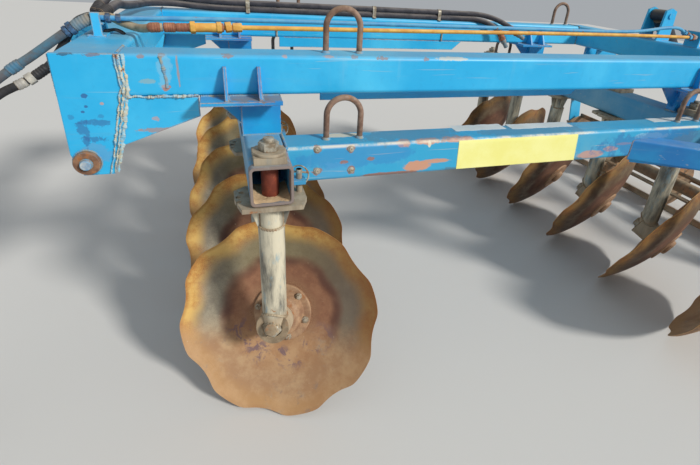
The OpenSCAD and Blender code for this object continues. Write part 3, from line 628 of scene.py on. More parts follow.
hitch_marks = on_face(MAIN_OUT, [
    (455, 1024, 0.040, 0.010, INK, 0.62, 1.7, 62.0),
    (490, 1004, 0.014, 0.026, INK, 0.62, 1.7, 70.0),
    (487, 968, 0.009, 0.018, INK, 0.62, 1.7, 80.0),
    (462, 974, 0.024, 0.009, INK, 0.6, 1.7, 80.0),
    (512, 1040, 0.008, 0.009, INK, 0.4, 1.0, 50.0),
    (438, 1040, 0.009, 0.007, INK, 0.4, 1.1, 60.0),
    (466, 1100, 0.009, 0.007, INK, 0.85, 0.8, 60.0),
    (470, 1070, 0.005, 0.004, INK, 0.85, 0.8, 80.0),
    (480, 1055, 0.005, 0.004, INK, 0.85, 0.8, 80.0),
    (430, 1078, 0.006, 0.005, TAN, 0.7, 0.8, 80.0),
    (470, 930, 0.050, 0.030, srgb(120, 150, 190), 0.35, 1.1, 26.0),
    (495, 1211, 0.020, 0.004, srgb(52, 62, 84), 0.7, 1.2, 60.0),
    (430, 1210, 0.026, 0.005, srgb(134, 92, 84), 0.6, 1.2, 60.0),
    (290, 995, 0.070, 0.008, srgb(172, 132, 108), 0.7, 0.9, 40.0),
    (300, 1030, 0.010, 0.007, srgb(196, 150, 130), 0.6, 0.9, 60.0),
])
hitch_marks += [
    (place(365, 642, 1108), (0.016, 0.03, 0.016), srgb(176, 112, 62), 0.9, 0.8, 50.0),
]
hitch_marks += on_face(MAIN_OUT, [
    (500, 872, 0.030, 0.012, srgb(60, 60, 66), 0.5, 0.8, 40.0),
])
row_marks = []
for s in (-1, 1):
    row_marks += [(place(0, s * 892, 904), (0.135, 0.030, 0.135), srgb(142, 114, 92), 0.85, 0.5, 34.0),
                  (place(0, s * 858, 904), (0.056, 0.060, 0.056), srgb(150, 120, 92), 0.7, 0.5, 30.0),
                  (place(0, s * 850, ROW_TOP), (0.062, 0.055, 0.012), srgb(160, 156, 146), 0.55, 0.8, 26.0),
                  (place(-58, s * 800, ROW_TOP), (0.010, 0.10, 0.012), RUSTY, 0.7, 1.0, 40.0)]
riser_marks = []
for x in (0, -ROW_GAP):
    for s in (-1, 1):
        riser_marks += [(place(x, s * 640, 1093), (0.130, 0.085, 0.010), srgb(132, 114, 96), 0.75, 0.8, 26.0),
                        (place(x, s * 690, 1078), (0.130, 0.030, 0.020), srgb(138, 104, 80), 0.65, 0.9, 30.0)]
print("marks:", len(side_marks), len(main_marks), len(hitch_marks), len(row_marks), len(riser_marks))

# %% [markdown]
# Every beam has its own blue: some carry more dust and some were painted again, and the deeper blue of
# the risers and outriggers is painted shade, for beams that stand in each other's shade. The numbers are the
# wear along edges, the rust and the dust.

# %% The blues of the beams
paint_main = frame_paint("frame_paint_main", BLUE, BLUE_FADED, 0.30, 0.04, 0.5, main_marks, 0.3)
paint_side = frame_paint("frame_paint_side", BLUE_SIDE, BLUE_SIDE_FADED, 0.40, 0.10, 0.08, side_marks, 0.7,
                         (MIDDLE_Y + SIDE_OUT / 1000, ROW_TOP / 1000))
paint_hitch = frame_paint("frame_paint_hitch", BLUE, BLUE_FADED, 0.34, 0.05, 0.5, hitch_marks, 0.3)
# Painted shade: the risers and the outriggers take the deeper blue.
paint_riser = frame_paint("frame_paint_riser", BLUE_SHADED, BLUE, 0.5, 0.16, 0.6, riser_marks)
paint_row = frame_paint("frame_paint_row", srgb(58, 150, 196), srgb(122, 178, 202), 0.5, 0.16, 0.6, row_marks)
paint_frame = frame_paint("frame_paint_plain", BLUE, BLUE_FADED, 0.42, 0.12, 0.55)
paint_shaded = frame_paint("frame_paint_shaded", BLUE_SHADED, BLUE, 0.42, 0.14, 0.6)

# %% [markdown]
# Stands were painted a pale blue that is now mostly cream dust and bare grey steel, in streaks down the
# strut, and their pale blue flecks are left-over paint and painted highlight together. Bars and bolts are plain
# rusty steel; one function gives all such metal its two tones, its pits and its dust.

# %% Rusty and worn metal


def worn_steel(name, light, dark, scale, rust, dust=0.4, low=0.3, roughness=(0.5, 0.85), metallic=0.0,
               bump=0.5, dust_colour=(190, 172, 142), zones=(), stretch=None, flecks=None):
    """Two tones of steel mixed by a cloudy noise, with rust blotches, pits and dust. A zone is a height
    at which another tone begins, the height at which it is full, that tone, and its strength. Stretch
    draws the clouds out along an axis, and flecks is the colour of pale flecks that are left-over paint and
    painted highlight together."""
    finish, r, shader = new_finish(name)
    cloud = r.noise(scale, 7.0, 0.66, r.stretched(r.place(), stretch) if stretch else None)
    colour = r.mix(r.limit(cloud, 0.36, 0.64), light, dark)
    # pale flecks: left-over paint and painted highlight together
    if flecks is not None:
        left = r.limit(r.noise(26.0, 6.0, 0.7, r.stretched(r.place(), (1.0, 1.0, 0.4))), 0.54, 0.66)
        colour = r.tinted(colour, left, 0.55, flecks)
    for start, full, tone, strength in zones:
        waver = r.times(r.minus(r.noise(40.0, 4.0, 0.6), 0.5), 0.03)
        up = r.plus(r.split(r.place())[2], waver)
        colour = r.tinted(colour, r.limit(up, start, full), strength, tone)
    blotch = r.group(RUST, Amount=rust, Scale=scale * 0.9)
    colour = r.mix(blotch["Mask"], colour, blotch["Colour"])
    worn = r.group(WEAR, Width=0.003, Amount=0.45, Scale=90.0)["Mask"]
    colour = r.tinted(colour, worn, 0.7, srgb(176, 150, 118))
    dusty = r.group(DUST, Amount=dust, Low=low)["Mask"]
    colour = r.mix(dusty, colour, srgb(*dust_colour))
    pits = r.noise(scale * 16, 4.0, 0.65)
    rough = r.blend(r.limit(cloud, 0.3, 0.7), roughness[0], roughness[1])
    bare = None
    if metallic:
        bare = r.times(r.minus(1.0, r.greater(blotch["Mask"], dusty)), metallic)
    height = r.plus(r.times(pits, 0.6), r.times(blotch["Height"], 0.6))
    close_finish(r, shader, colour, rough, height, bump, 0.0012, 0.002, bare)
    return finish


# height where a zone begins and where it is full, its tone and its strength: the sector plates and
# washers above, the collars below
STAND_ZONES = [(0.802, 0.812, srgb(150, 134, 112), 0.72), (0.42, 0.39, srgb(186, 166, 138), 0.75)]
stand_paint = worn_steel("stand_paint", srgb(216, 208, 184), srgb(112, 110, 102), 17.0, 0.26, 0.35, 0.2,
                         zones=STAND_ZONES, stretch=(1.5, 1.5, 0.3), flecks=srgb(128, 172, 190))
pin_paint = worn_steel("pin_paint", srgb(196, 200, 196), srgb(120, 150, 178), 30.0, 0.30, 0.3, 0.1)
weld_dull = worn_steel("weld_dull", srgb(184, 170, 144), srgb(138, 118, 96), 30.0, 0.35, 0.3)
bar_rust = worn_steel("bar_rust", srgb(150, 122, 104), srgb(112, 84, 68), 24.0, 0.30, 0.35)
bolt_steel = worn_steel("bolt_steel", srgb(190, 186, 172), srgb(136, 122, 102), 40.0, 0.30, 0.35, 0.2,
                        (0.38, 0.7), 0.35)
collar_rust = worn_steel("collar_rust", srgb(158, 138, 112), srgb(112, 94, 74), 30.0, 0.35, 0.35, 0.35)
hub_cast = worn_steel("hub_cast", srgb(180, 146, 114), srgb(140, 106, 82), 22.0, 0.35, 0.3, 0.3,
                      dust_colour=(172, 140, 108))
weld_steel = worn_steel("weld_steel", srgb(72, 160, 208), srgb(150, 150, 136), 26.0, 0.24, 0.3)
weld_cream = worn_steel("weld_cream", srgb(128, 194, 224), srgb(204, 196, 170), 46.0, 0.36, 0.1, 0.1, bump=0.3)
pin_rust = worn_steel("pin_rust", srgb(150, 112, 84), srgb(112, 80, 62), 40.0, 0.40, 0.3, 0.2)
roller_rust = worn_steel("roller_rust", srgb(132, 98, 70), srgb(84, 60, 44), 9.0, 0.45, 0.5, 0.5)
sleeve_rust = worn_steel("sleeve_rust", srgb(150, 70, 44), srgb(112, 50, 34), 20.0, 0.30, 0.1, 0.1)
cylinder_black = worn_steel("cylinder_black", srgb(52, 54, 60), srgb(38, 40, 46), 12.0, 0.16, 0.45, 0.1,
                            (0.35, 0.6), bump=0.2)
rod_chrome = worn_steel("rod_chrome", srgb(200, 202, 206), srgb(160, 160, 164), 26.0, 0.10, 0.2, 0.1,
                        (0.16, 0.34), 0.95, bump=0.1)

# %% [markdown]
# Rubber, fittings, blank stickers and soil use the same recipe with other numbers. The table gives for
# each its two tones, how fine its clouds are, rust, dust, roughness, how deep its pits are, and the
# dust's colour.

# %% Rubber, fittings, blank stickers and soil
OTHER_FINISHES = [
    ("rubber_black", (40, 40, 44), (28, 28, 32), 20.0, 0.0, 0.35, (0.60, 0.85), 0.15, (116, 110, 102)),
    ("hose_grey", (84, 84, 88), (66, 116, 140), 13.0, 0.0, 0.55, (0.60, 0.85), 0.15, (150, 142, 128)),
    ("hose_stained", (88, 86, 84), (70, 118, 146), 22.0, 0.0, 0.55, (0.60, 0.85), 0.2, (158, 150, 134)),
    ("hose_tan", (178, 162, 134), (150, 132, 106), 18.0, 0.0, 0.45, (0.65, 0.85), 0.15, (190, 176, 150)),
    ("hose_dusty", (66, 64, 70), (48, 48, 56), 16.0, 0.0, 0.80, (0.60, 0.85), 0.15, (148, 140, 134)),
    ("pipe_paint", (64, 150, 206), (96, 176, 214), 20.0, 0.24, 0.35, (0.45, 0.75), 0.25, (168, 150, 128)),
    ("pipe_yellow_paint", (236, 184, 86), (220, 156, 70), 20.0, 0.24, 0.25, (0.45, 0.75), 0.25,
     (214, 190, 148)),
    ("coupler_rust", (178, 116, 84), (138, 86, 64), 34.0, 0.25, 0.2, (0.55, 0.80), 0.4, (190, 150, 120)),
    ("ferrule_dusty", (150, 140, 124), (104, 132, 148), 20.0, 0.0, 0.5, (0.50, 0.80), 0.25, (172, 160, 140)),
    ("nut_blue", (62, 108, 150), (52, 60, 76), 40.0, 0.15, 0.2, (0.45, 0.75), 0.3, (150, 150, 146)),
    ("ferrule_black", (54, 52, 54), (40, 40, 44), 26.0, 0.0, 0.3, (0.50, 0.75), 0.2, (126, 118, 108)),
    ("coupler_cream", (208, 202, 188), (160, 156, 150), 26.0, 0.1, 0.3, (0.50, 0.75), 0.2, (196, 186, 166)),
    ("ferrule_silver", (198, 198, 192), (152, 152, 148), 26.0, 0.1, 0.3, (0.35, 0.60), 0.2, (180, 172, 156)),
    ("plate_yellow", (248, 246, 164), (242, 238, 142), 6.0, 0.0, 0.20, (0.40, 0.55), 0.05, (216, 208, 166)),
    ("strip_white", (226, 232, 230), (208, 216, 216), 9.0, 0.0, 0.25, (0.45, 0.60), 0.05, (196, 196, 186)),
    ("soil", (204, 176, 138), (178, 150, 114), 30.0, 0.0, 0.5, (0.85, 0.95), 1.0, (200, 172, 134)),
]
(rubber_black, hose_grey, hose_stained, hose_tan, hose_dusty, pipe_paint, pipe_yellow_paint, coupler_rust,
 ferrule_dusty, nut_blue, ferrule_black, coupler_cream, ferrule_silver, plate_yellow, strip_white, soil) = [
    worn_steel(name, srgb(*light), srgb(*dark), scale, rust, dust, 0.1, rough, bump=bump,
               dust_colour=dust_colour)
    for name, light, dark, scale, rust, dust, rough, bump, dust_colour in OTHER_FINISHES]
print("finishes:", len(bpy.data.materials))

# %% [markdown]
# A disc lies in soil up to its hub, so its rust comes in rings. The outer band is fresh orange where
# earth last scoured it, then comes greyer steel, and the middle is old red-brown rust. The disc's mesh
# carries its own map: radius across and angle along, which also tells what hangs low and is dusty.
# On one side of each disc the rim and the grey band are darker, which is painted shade, and the back face is
# darkened all over, also painted shade.

# %% Disc finish


def disc_finish(name, inside):
    """Rings of rust by the map's radius, with dust below the hub on the open side, and painted shade on one
    side of rim and band; the back face is darkened all over by painted shade.
    """
    finish, r, shader = new_finish(name)
    across, along, _ = r.split(r.node("ShaderNodeUVMap", {"uv_map": "UVMap"}).outputs[0])
    wobble = r.times(r.minus(r.noise(7.0, 5.0, 0.62), 0.5), 0.12)
    ring = r.plus(across, wobble)
    fine_wobble = r.plus(across, r.times(wobble, 0.35))
    speckle = r.noise(330.0, 3.0, 0.7)
    cloud = r.noise(11.0, 7.0, 0.7)
    # along is 0.25 at the lowest place of the rim, 0.75 at the highest, 0 and 0.5 at its two sides
    upward = r.calc("SINE", r.times(along, -2 * math.pi))
    # painted side light: 1 at the side where along is 0, -1 at the side where along is 0.5, which gets painted
    # shade
    painted_side_light = r.calc("SINE", r.times(r.plus(along, 0.25), 2 * math.pi))
    rim = r.mix(r.limit(speckle, 0.35, 0.65), srgb(204, 146, 72), srgb(168, 106, 50))
    rim = r.mix(r.limit(cloud, 0.36, 0.62), rim, srgb(220, 180, 102))
    # painted shade: the rim darkens towards the side where along is 0.5
    rim = r.tinted(rim, r.limit(painted_side_light, -0.1, -0.8), 0.75, srgb(122, 82, 46))
    band = r.mix(r.limit(cloud, 0.35, 0.65), srgb(160, 152, 132), srgb(128, 120, 106))
    band = r.tinted(band, r.limit(speckle, 0.48, 0.7), 0.5, srgb(106, 90, 70))
    band = r.tinted(band, r.limit(upward, 0.35, 0.9), 0.5, srgb(128, 112, 62))
    heart = r.mix(r.limit(cloud, 0.36, 0.64), srgb(156, 114, 86), srgb(132, 90, 68))
    heart = r.tinted(heart, r.limit(speckle, 0.45, 0.72), 0.5, srgb(176, 124, 92))
    middle = r.mix(r.limit(speckle, 0.4, 0.6), srgb(160, 122, 92), srgb(132, 96, 72))
    heart = r.mix(r.limit(fine_wobble, 0.44, 0.30), heart, middle)
    # painted shade: the grey band darkens towards the same side
    band = r.tinted(band, r.limit(painted_side_light, 0.0, -0.8), 0.7, srgb(104, 88, 74))
    colour = r.mix(r.limit(fine_wobble, 0.53, 0.68), heart, band)
    colour = r.mix(r.limit(ring, 0.76, 0.94), colour, rim)
    dark_line = r.times(r.limit(fine_wobble, 0.49, 0.575), r.limit(fine_wobble, 0.68, 0.585))
    dark_line = r.times(dark_line, r.limit(r.noise(6.0, 3.0, 0.5), 0.35, 0.6, 0.25, 0.75))
    colour = r.mix(dark_line, colour, srgb(84, 50, 44))
    lip = r.limit(across, 0.962, 0.992)
    colour = r.tinted(colour, lip, 0.45, srgb(150, 92, 40))
    if inside:
        down = r.times(r.times(upward, -1.0), across)
        low = r.limit(r.plus(down, r.times(wobble, 2.6)), -0.02, 0.40)
        earth = r.mix(r.limit(cloud, 0.36, 0.62), srgb(192, 156, 116), srgb(172, 130, 92))
        earth = r.mix(r.limit(r.noise(26.0, 6.0, 0.7), 0.58, 0.72), earth, srgb(152, 124, 104))
        colour = r.tinted(colour, low, 0.84, earth)
        smear = r.noise(15.0, 5.0, 0.7, distortion=0.6)
        at_hub = r.times(r.limit(across, 0.34, 0.42), r.limit(across, 0.66, 0.50))
        patch = r.times(r.times(r.limit(smear, 0.49, 0.57), at_hub), r.limit(down, 0.0, 0.25))
        colour = r.tinted(colour, patch, 0.80, srgb(108, 88, 100))
        pale = r.times(r.limit(r.noise(12.0, 6.0, 0.65, distortion=0.4), 0.58, 0.70), low)
        colour = r.tinted(colour, pale, 0.55, srgb(168, 154, 136))
    else:
        clods = r.limit(r.noise(20.0, 7.0, 0.7), 0.45, 0.62)
        colour = r.tinted(colour, clods, 0.6, srgb(96, 78, 62))
        # painted shade: the back face is mixed towards dark brown in clouds
        colour = r.mix(r.limit(cloud, 0.30, 0.60, 0.35, 0.70), colour, srgb(92, 62, 48))
    grooves = r.node("ShaderNodeCombineXYZ", i0=r.times(across, 60.0), i1=along).outputs[0]
    scrape = r.noise(5.0, 4.0, 0.6, grooves)
    colour = r.tinted(colour, r.limit(scrape, 0.55, 0.75), 0.16, srgb(86, 70, 58))
    flecks = r.limit(r.noise(120.0, 2.0, 0.5), 0.74, 0.80)
    colour = r.tinted(colour, flecks, 0.6, srgb(206, 186, 156))
    pits = r.plus(r.times(speckle, 0.6), r.times(cloud, 0.5))
    close_finish(r, shader, colour, r.blend(r.limit(ring, 0.6, 0.85), 0.82, 0.60), pits, 0.35, 0.0010, 0)
    return finish


disc_face = disc_finish("disc_face", True)
disc_back_shaded = disc_finish("disc_back_shaded", False)

# %% [markdown]
# A disc is part of a hollow sphere. At radius q its open face lies at sphere radius minus dish minus the
# root of (sphere radius squared minus q squared). The rim is not a circle: eight wide hollows are cut
# in it, so the outer radius is a function of the angle, the smaller of the crest circle and the cutting
# circle, with the two blended so that the corners are round. The grid runs over angle and radius.

# %% Discs
SPHERE_R = (DISC_R ** 2 + DISH ** 2) / (2 * DISH)
SCALLOPS = 8
SCALLOP_DEPTH = 17.0
CUT_R = 250.0
PAST_RIM = DISC_R + 60
ROUNDING = 5.0


def rim_radius(angle, turn):
    """Crest radius, or the distance to the cutting circle if that is less, with a smooth minimum.
    The hollows lie at the disc's turn and every eighth of a circle from there."""
    step = 2 * math.pi / SCALLOPS
    phi = ((angle - turn + step / 2) % step) - step / 2
    centre = DISC_R - SCALLOP_DEPTH + CUT_R
    inside = np.maximum(CUT_R ** 2 - (centre * np.sin(phi)) ** 2, 0)
    cut = centre * np.cos(phi) - np.sqrt(inside)
    cut = np.minimum(np.where(inside > 0, cut, PAST_RIM), PAST_RIM)
    return -ROUNDING * np.logaddexp(-cut / ROUNDING, -DISC_R / ROUNDING)


def disc_axes():
    """The turn that the drawing gives a disc on a stand that faces left."""
    lay = math.pi / 2 - LEAN
    swing = math.pi / 2 - ATTACK
    about_y = np.array([[math.cos(lay), 0, math.sin(lay)], [0, 1, 0], [-math.sin(lay), 0, math.cos(lay)]])
    about_z = np.array([[math.cos(swing), -math.sin(swing), 0],
                        [math.sin(swing), math.cos(swing), 0], [0, 0, 1]])
    return about_z @ about_y


DISC_AXES = disc_axes()
AXLE = DISC_AXES[:, 2]


def stand_origin(x, y):
    """The middle of a disc's rim plane, for a stand that faces left."""
    return place(x, y, HUB_Z) - AXLE * COLLAR_MID / 1000


def mirror_pile(pile):
    """A stand that faces right is the mirror image of one that faces left; the faces are turned back."""
    for i, points in enumerate(pile.points):
        pile.points[i] = points * np.array([1, -1, 1]) + np.array([0, 2 * MIDDLE_Y, 0])
        pile.faces[i] = pile.faces[i][:, ::-1]


# %% [markdown]
# The two faces of the blade are one grid of angle and radius each, with a ground edge between them.
# Small dents, sines of the angle that grow towards the rim, are different on each disc. Flange and hub
# are turned profiles, and six bolts hold them.

# %% Blades and hubs
FACE, BACK, CASTING, BOLT = range(4)
ANGLES = 289
FLANGE_BOLTS = 6
BOLT_CIRCLE = 90
EDGE_LEFT = 1.6
HUB = [(38, -DISH + 2), (105, -DISH + 6), (107, -DISH + 8), (107, -DISH + 16), (104, -DISH + 19),
       (82, -DISH + 20), (80, -DISH + 24), (77, -46), (74, -32), (68, -25), (58, -22), (57, -14),
       (54, -12), (22, -12), (22, -20), (22, -60), (38, -64)]
CAP = [(0, -113), (30, -113), (38, -111), (43, -106), (44, -98), (45, -DISH - 12), (92, -DISH - 9),
       (96, -DISH - 5), (96, -DISH), (0, -DISH)]


def disc_pile(x, y, turn, seed):
    """Blade, flange, hub and flange nuts of one disc."""
    pile = Pile()
    origin = stand_origin(x, y)
    angle = np.linspace(0, 2 * math.pi, ANGLES)
    rim = rim_radius(angle, math.radians(turn))
    phase = 1.7 * seed
    dents = 1.2 * np.sin(3 * angle + phase) + 0.8 * np.sin(7 * angle + 2.1 * phase)
    steps = np.concatenate([np.linspace(0.11, 0.9, 26), np.linspace(0.92, 1.0, 8)])
    q = rim[:, None] * steps[None, :]
    wave = dents[:, None] * steps[None, :] ** 4
    face_z = SPHERE_R - DISH - np.sqrt(SPHERE_R ** 2 - q ** 2) + wave * 0.6
    back_z = SPHERE_R - DISH - np.sqrt((SPHERE_R + DISC_T) ** 2 - q ** 2) + wave * 0.6
    ground = np.clip((steps[None, :] - 0.95) / 0.05, 0, 1)
    back_z = back_z + (face_z - back_z - EDGE_LEFT) * ground * 0.8
    low = DISC_AXES.T @ np.array([0, 0, -1.0])
    along = (angle - math.atan2(low[1], low[0]) + math.pi / 2) / (2 * math.pi)
    for z, paint, flip in ((face_z, FACE, False), (back_z, BACK, True)):
        local = around(q, angle[:, None], z) / 1000
        uv = np.stack(np.broadcast_arrays(steps[None, :], along[:, None]), -1)
        pile.grid(local @ DISC_AXES.T + origin, paint=paint, uv=uv, flip=not flip)
    edge_q = np.stack([q[:, -1], q[:, -1] + 0.7, q[:, -1]], 1)
    edge_z = np.stack([back_z[:, -1], (face_z[:, -1] + back_z[:, -1]) / 2, face_z[:, -1]], 1)
    local = around(edge_q, angle[:, None], edge_z) / 1000
    uv = np.stack(np.broadcast_arrays(np.ones((1, 3)), along[:, None]), -1)
    pile.grid(local @ DISC_AXES.T + origin, paint=FACE, uv=uv)
    pile.turned(HUB, origin, AXLE, 72, CASTING)
    pile.turned(CAP, origin, AXLE, 64, CASTING)
    for k in range(FLANGE_BOLTS):
        a = math.pi / 3 * k + 0.35
        foot = origin + DISC_AXES @ (around(BOLT_CIRCLE, a, -DISH + 19) / 1000)
        pile.prism(21, 11, foot, AXLE, 6, paint=BOLT, hint=(1, 0.2, 0.3))
        pile.turned([(0, 10), (6.2, 10), (6.2, 18), (5, 19.5), (0, 19.5)], foot, AXLE, 20, BOLT)
    return pile


for number, (name, x, y, side, turn) in enumerate(STANDS):
    pile = disc_pile(x, y * side, turn, number)
    if side < 0:
        mirror_pile(pile)
    piece = pile.build(f"disc_{name}_blade", f"disc_{name}_rotor", [disc_face, disc_back_shaded, hub_cast, bolt_steel])
    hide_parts(f"disc_{name}")


# %% [markdown]
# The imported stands, beams and plates keep their exact shapes; they only need their finishes. A table
# says which finish goes on which nodes, by the start of their names.

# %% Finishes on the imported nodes
FINISHES = [
    ("main_beam", paint_main), ("crossbeam", paint_frame), ("hitch", paint_hitch), ("top_link", paint_frame),
    ("row_beam", paint_row), ("side_beam", paint_side), ("outrigger", paint_shaded), ("risers", paint_riser),
    ("stand", stand_paint), ("hose_post", paint_frame), ("roller_frame", paint_frame), ("roller", roller_rust),
    ("cylinder_barrel", cylinder_black), ("cylinder_rod", rod_chrome),
]
for name, node in nodes.items():
    for start, finish in FINISHES:
        if name.startswith(start):
            node.data.materials.clear()
            node.data.materials.append(finish)
            break

# %% [markdown]
# Round bars bent into lifting loops are part of the beams' nodes. They are bare, rusty steel in the
# photograph, so a slightly thicker skin of bar is laid over each and runs down to a weld collar.

# %% Lifting loops
LOOP_WIDTH = 112
LOOP_HEIGHT = 135
LOOP_BAR = 18
LOOPS = [(x, s * (MAIN_OUT - TUBE / 2), MAIN_TOP) for x in (-270, -2120) for s in (1, -1)]
LOOPS += [(x, s * (SIDE_OUT - TUBE / 2), ROW_TOP) for x in (-250, -1800) for s in (1, -1)]


def loop_line(x, y, z, points=40):
    """Up one leg, round a half circle and down the other leg."""
    radius = LOOP_WIDTH / 2
    straight = LOOP_HEIGHT - radius
    leg = np.linspace(0, straight, 6)[:-1]
    a = np.linspace(0, math.pi, points)
    along = np.concatenate([np.full(5, radius), radius * np.cos(a), np.full(5, -radius)])
    height = np.concatenate([leg, straight + radius * np.sin(a), leg[::-1]])
    return place(x + along, y, z + height)


loops = Pile()
for x, y, z in LOOPS:
    loops.tube(loop_line(x, y, z), (LOOP_BAR / 2 + 0.6) / 1000, 20)
    for k in (-1, 1):
        foot = place(x + k * LOOP_WIDTH / 2, y, z)
        loops.turned([(15, 0), (14.5, 2), (12, 5), (9.5, 8)], foot, (0, 0, 1), 24, 1)
piece = loops.build("lifting_loop_bars", "frame", [bar_rust, weld_steel])

# %% [markdown]
# Where two tubes meet, a welder has laid a bead. A bead is a thin tube along the seam whose radius
# swells and shrinks every few millimetres. Each seam in the table below is a line between two places;
# the bead wanders a little, because no hand is perfectly steady.

# %% Weld beads
rng = np.random.default_rng(7)


def seam(a, b):
    """The line of a bead between two places given in the drawing's millimetres."""
    a = np.array(a, float)
    b = np.array(b, float)
    count = max(int(np.linalg.norm(b - a) / 2.4), 4)
    t = np.linspace(0, 1, count)[:, None]
    return place(*(a + (b - a) * t + rng.normal(0, 0.25, (count, 3))).T)


def upright_seam(x, y, low, high, top=MAIN_TOP):
    """A seam up a tube's corner, between two depths below the tube's top."""
    return (x, y, top - low), (x, y, top - high)


def box_seams(x0, x1, y0, y1, z):
    """The four seams round a rectangle at one height."""
    corners = [(x0, y0, z), (x1, y0, z), (x1, y1, z), (x0, y1, z)]
    return list(zip(corners, corners[1:] + corners[:1]))


# along the machine: the hitch's rear edge, its front seam and the rear crossbeam's seam
HITCH_X, CHEEK_X, BACK_X = 372, 532, -2251
BRACKET_HALF = 114
UNDERSIDE = MAIN_TOP - TUBE
SEAMS = []
for s in (-1, 1):
    out = s * MAIN_OUT
    inner = s * (MAIN_OUT - TUBE)
    below = s * (MAIN_OUT - 13)
    # main tube against the hitch's cheek and the rear crossbeam
    SEAMS += [upright_seam(HITCH_X, out, 118, 6), upright_seam(HITCH_X + 2, inner, 116, 4),
              ((HITCH_X + 2, out - s * 6, MAIN_TOP), (HITCH_X + 2, inner, MAIN_TOP)),
              upright_seam(BACK_X, inner, 116, 4), ((BACK_X, inner, MAIN_TOP), (BACK_X, out - s * 6, MAIN_TOP)),
              upright_seam(BACK_X, out, 118, 6), ((380, below, MAIN_TOP - 121), (520, below, MAIN_TOP - 121)),
              upright_seam(CHEEK_X, out - s * 11, 116, 4)]
    side_out = s * SIDE_OUT
    side_in = s * (SIDE_OUT - TUBE)
    # side tube against the two row tubes
    for x in (-TUBE / 2, -ROW_GAP + TUBE / 2):
        SEAMS += [upright_seam(x, side_out, 112, 8, ROW_TOP), upright_seam(x, side_in, 112, 8, ROW_TOP),
                  ((x, side_in, ROW_TOP - 1), (x, side_out, ROW_TOP - 1))]
    # risers and their gussets
    for centre, leg in ((58, 108), (-ROW_GAP + 58, 42)):
        y0 = s * (MAIN_OUT - BRACKET_HALF)
        y1 = s * (MAIN_OUT - BRACKET_HALF + leg)
        SEAMS += box_seams(centre - 118, centre + 2, y0, y1, ROW_TOP)
        SEAMS += box_seams(centre - 118, centre + 2, y0, y1, MAIN_TOP - 132)
        for dx in (-54, 42):
            foot = centre + dx - 6
            SEAMS += [upright_seam(centre + dx, out, 118, 34),
                      ((foot, out + s * 4, UNDERSIDE), (foot, out + s * 58, UNDERSIDE)),
                      upright_seam(centre + dx, inner, 118, 34)]
        for y in (out, inner):
            SEAMS += [((centre - BRACKET_HALF, y, UNDERSIDE), (centre + BRACKET_HALF, y, UNDERSIDE))]
beads = Pile()
for a, b in SEAMS:
    beads.tube(seam(a, b), 0.004, 8, ripple=0.16, ripple_length=0.007)
piece = beads.build("frame_weld_beads", "frame", [weld_steel])

# %% [markdown]
# Each stand hangs from a kingpin: washer, hex nut and a threaded end on top of the beam. A thread is a
# grid whose radius rises and falls with height plus one pitch a turn. The disc's castle nut sits in the
# collar's mouth, with six slots in its crown and a cotter pin through two of them.

# %% Kingpin and castle nut
NUT, WASHER, AXLE_END, COLLAR_RIM, BEAD, SLEEVE = range(6)
UPRIGHT = (0, 0, 1)
NUT_HINT = (1, 0, 0.35)
WIRE = 0.0020


def threaded_end(pile, radius, length, origin, direction, pitch=3.0, paint=NUT):
    """A bolt end: the radius rises and falls with height plus one pitch a turn, which makes a screw."""
    turns = 40
    a = np.linspace(0, 2 * math.pi, turns, endpoint=False)[:, None]
    h = np.linspace(0, length, int(length / pitch * 8))[None, :]
    depth = 0.9 * np.abs(((h / pitch - a / (2 * math.pi)) % 1) - 0.5) * 2
    q = (radius - depth) * np.clip((length - h) / 1.5 + 0.55, 0.55, 1)
    local = around(q, a, h) / 1000
    axes = axes_for(direction)
    pile.grid(local @ axes.T + origin, close_rows=True, paint=paint)
    tip = np.stack([local[:, -1], np.broadcast_to([0, 0, length / 1000], (turns, 3))])
    pile.grid(np.swapaxes(tip, 0, 1) @ axes.T + origin, close_rows=True, paint=paint)


def kingpin_head(pile, x, y, top, seed):
    """Washer, nut and threaded end on the beam; each nut was left at another angle."""
    washer = [(16, 8.2), (46, 8.2), (47.5, 7), (47.5, 1), (46, 0.1), (44, 0.1)]
    pile.turned(washer, place(x, y, top + 20), UPRIGHT, 64, WASHER)
    hint = (math.cos(0.4 * seed), math.sin(0.4 * seed), 0.2)
    pile.prism(50, 24, place(x, y, top + 28.1), UPRIGHT, 6, paint=NUT, hint=hint)
    threaded_end(pile, 15.6, 14, place(x, y, top + 50), UPRIGHT)


def castle_nut(pile, origin):
    """A hexagon with a crown: where a slot is, the crown's outer radius and its top are cut back."""
    foot = origin + AXLE * 0.0585
    pile.prism(57, 17, foot, AXLE, 6, paint=NUT, hint=NUT_HINT)
    a = np.linspace(0, 2 * math.pi, 145)[:, None]
    slot_here = np.abs(((a / (math.pi / 3)) % 1) - 0.5) < 0.14
    h = np.array([16, 17, 27, 28.5, 28.5, 20])[None, :]
    outer = np.where(slot_here, 19.0, 24.0) - np.where(h > 28, 1.5, 0)
    q = np.where(np.arange(6)[None, :] < 4, outer, 16.0)
    h = np.where(slot_here & (h > 18.5), 18.5, h)
    pile.grid(around(q, a, h) / 1000 @ axes_for(AXLE, NUT_HINT).T + foot, paint=NUT)
    threaded_end(pile, 20.4, 12, origin + AXLE * 0.0815, AXLE, 2.5, AXLE_END)


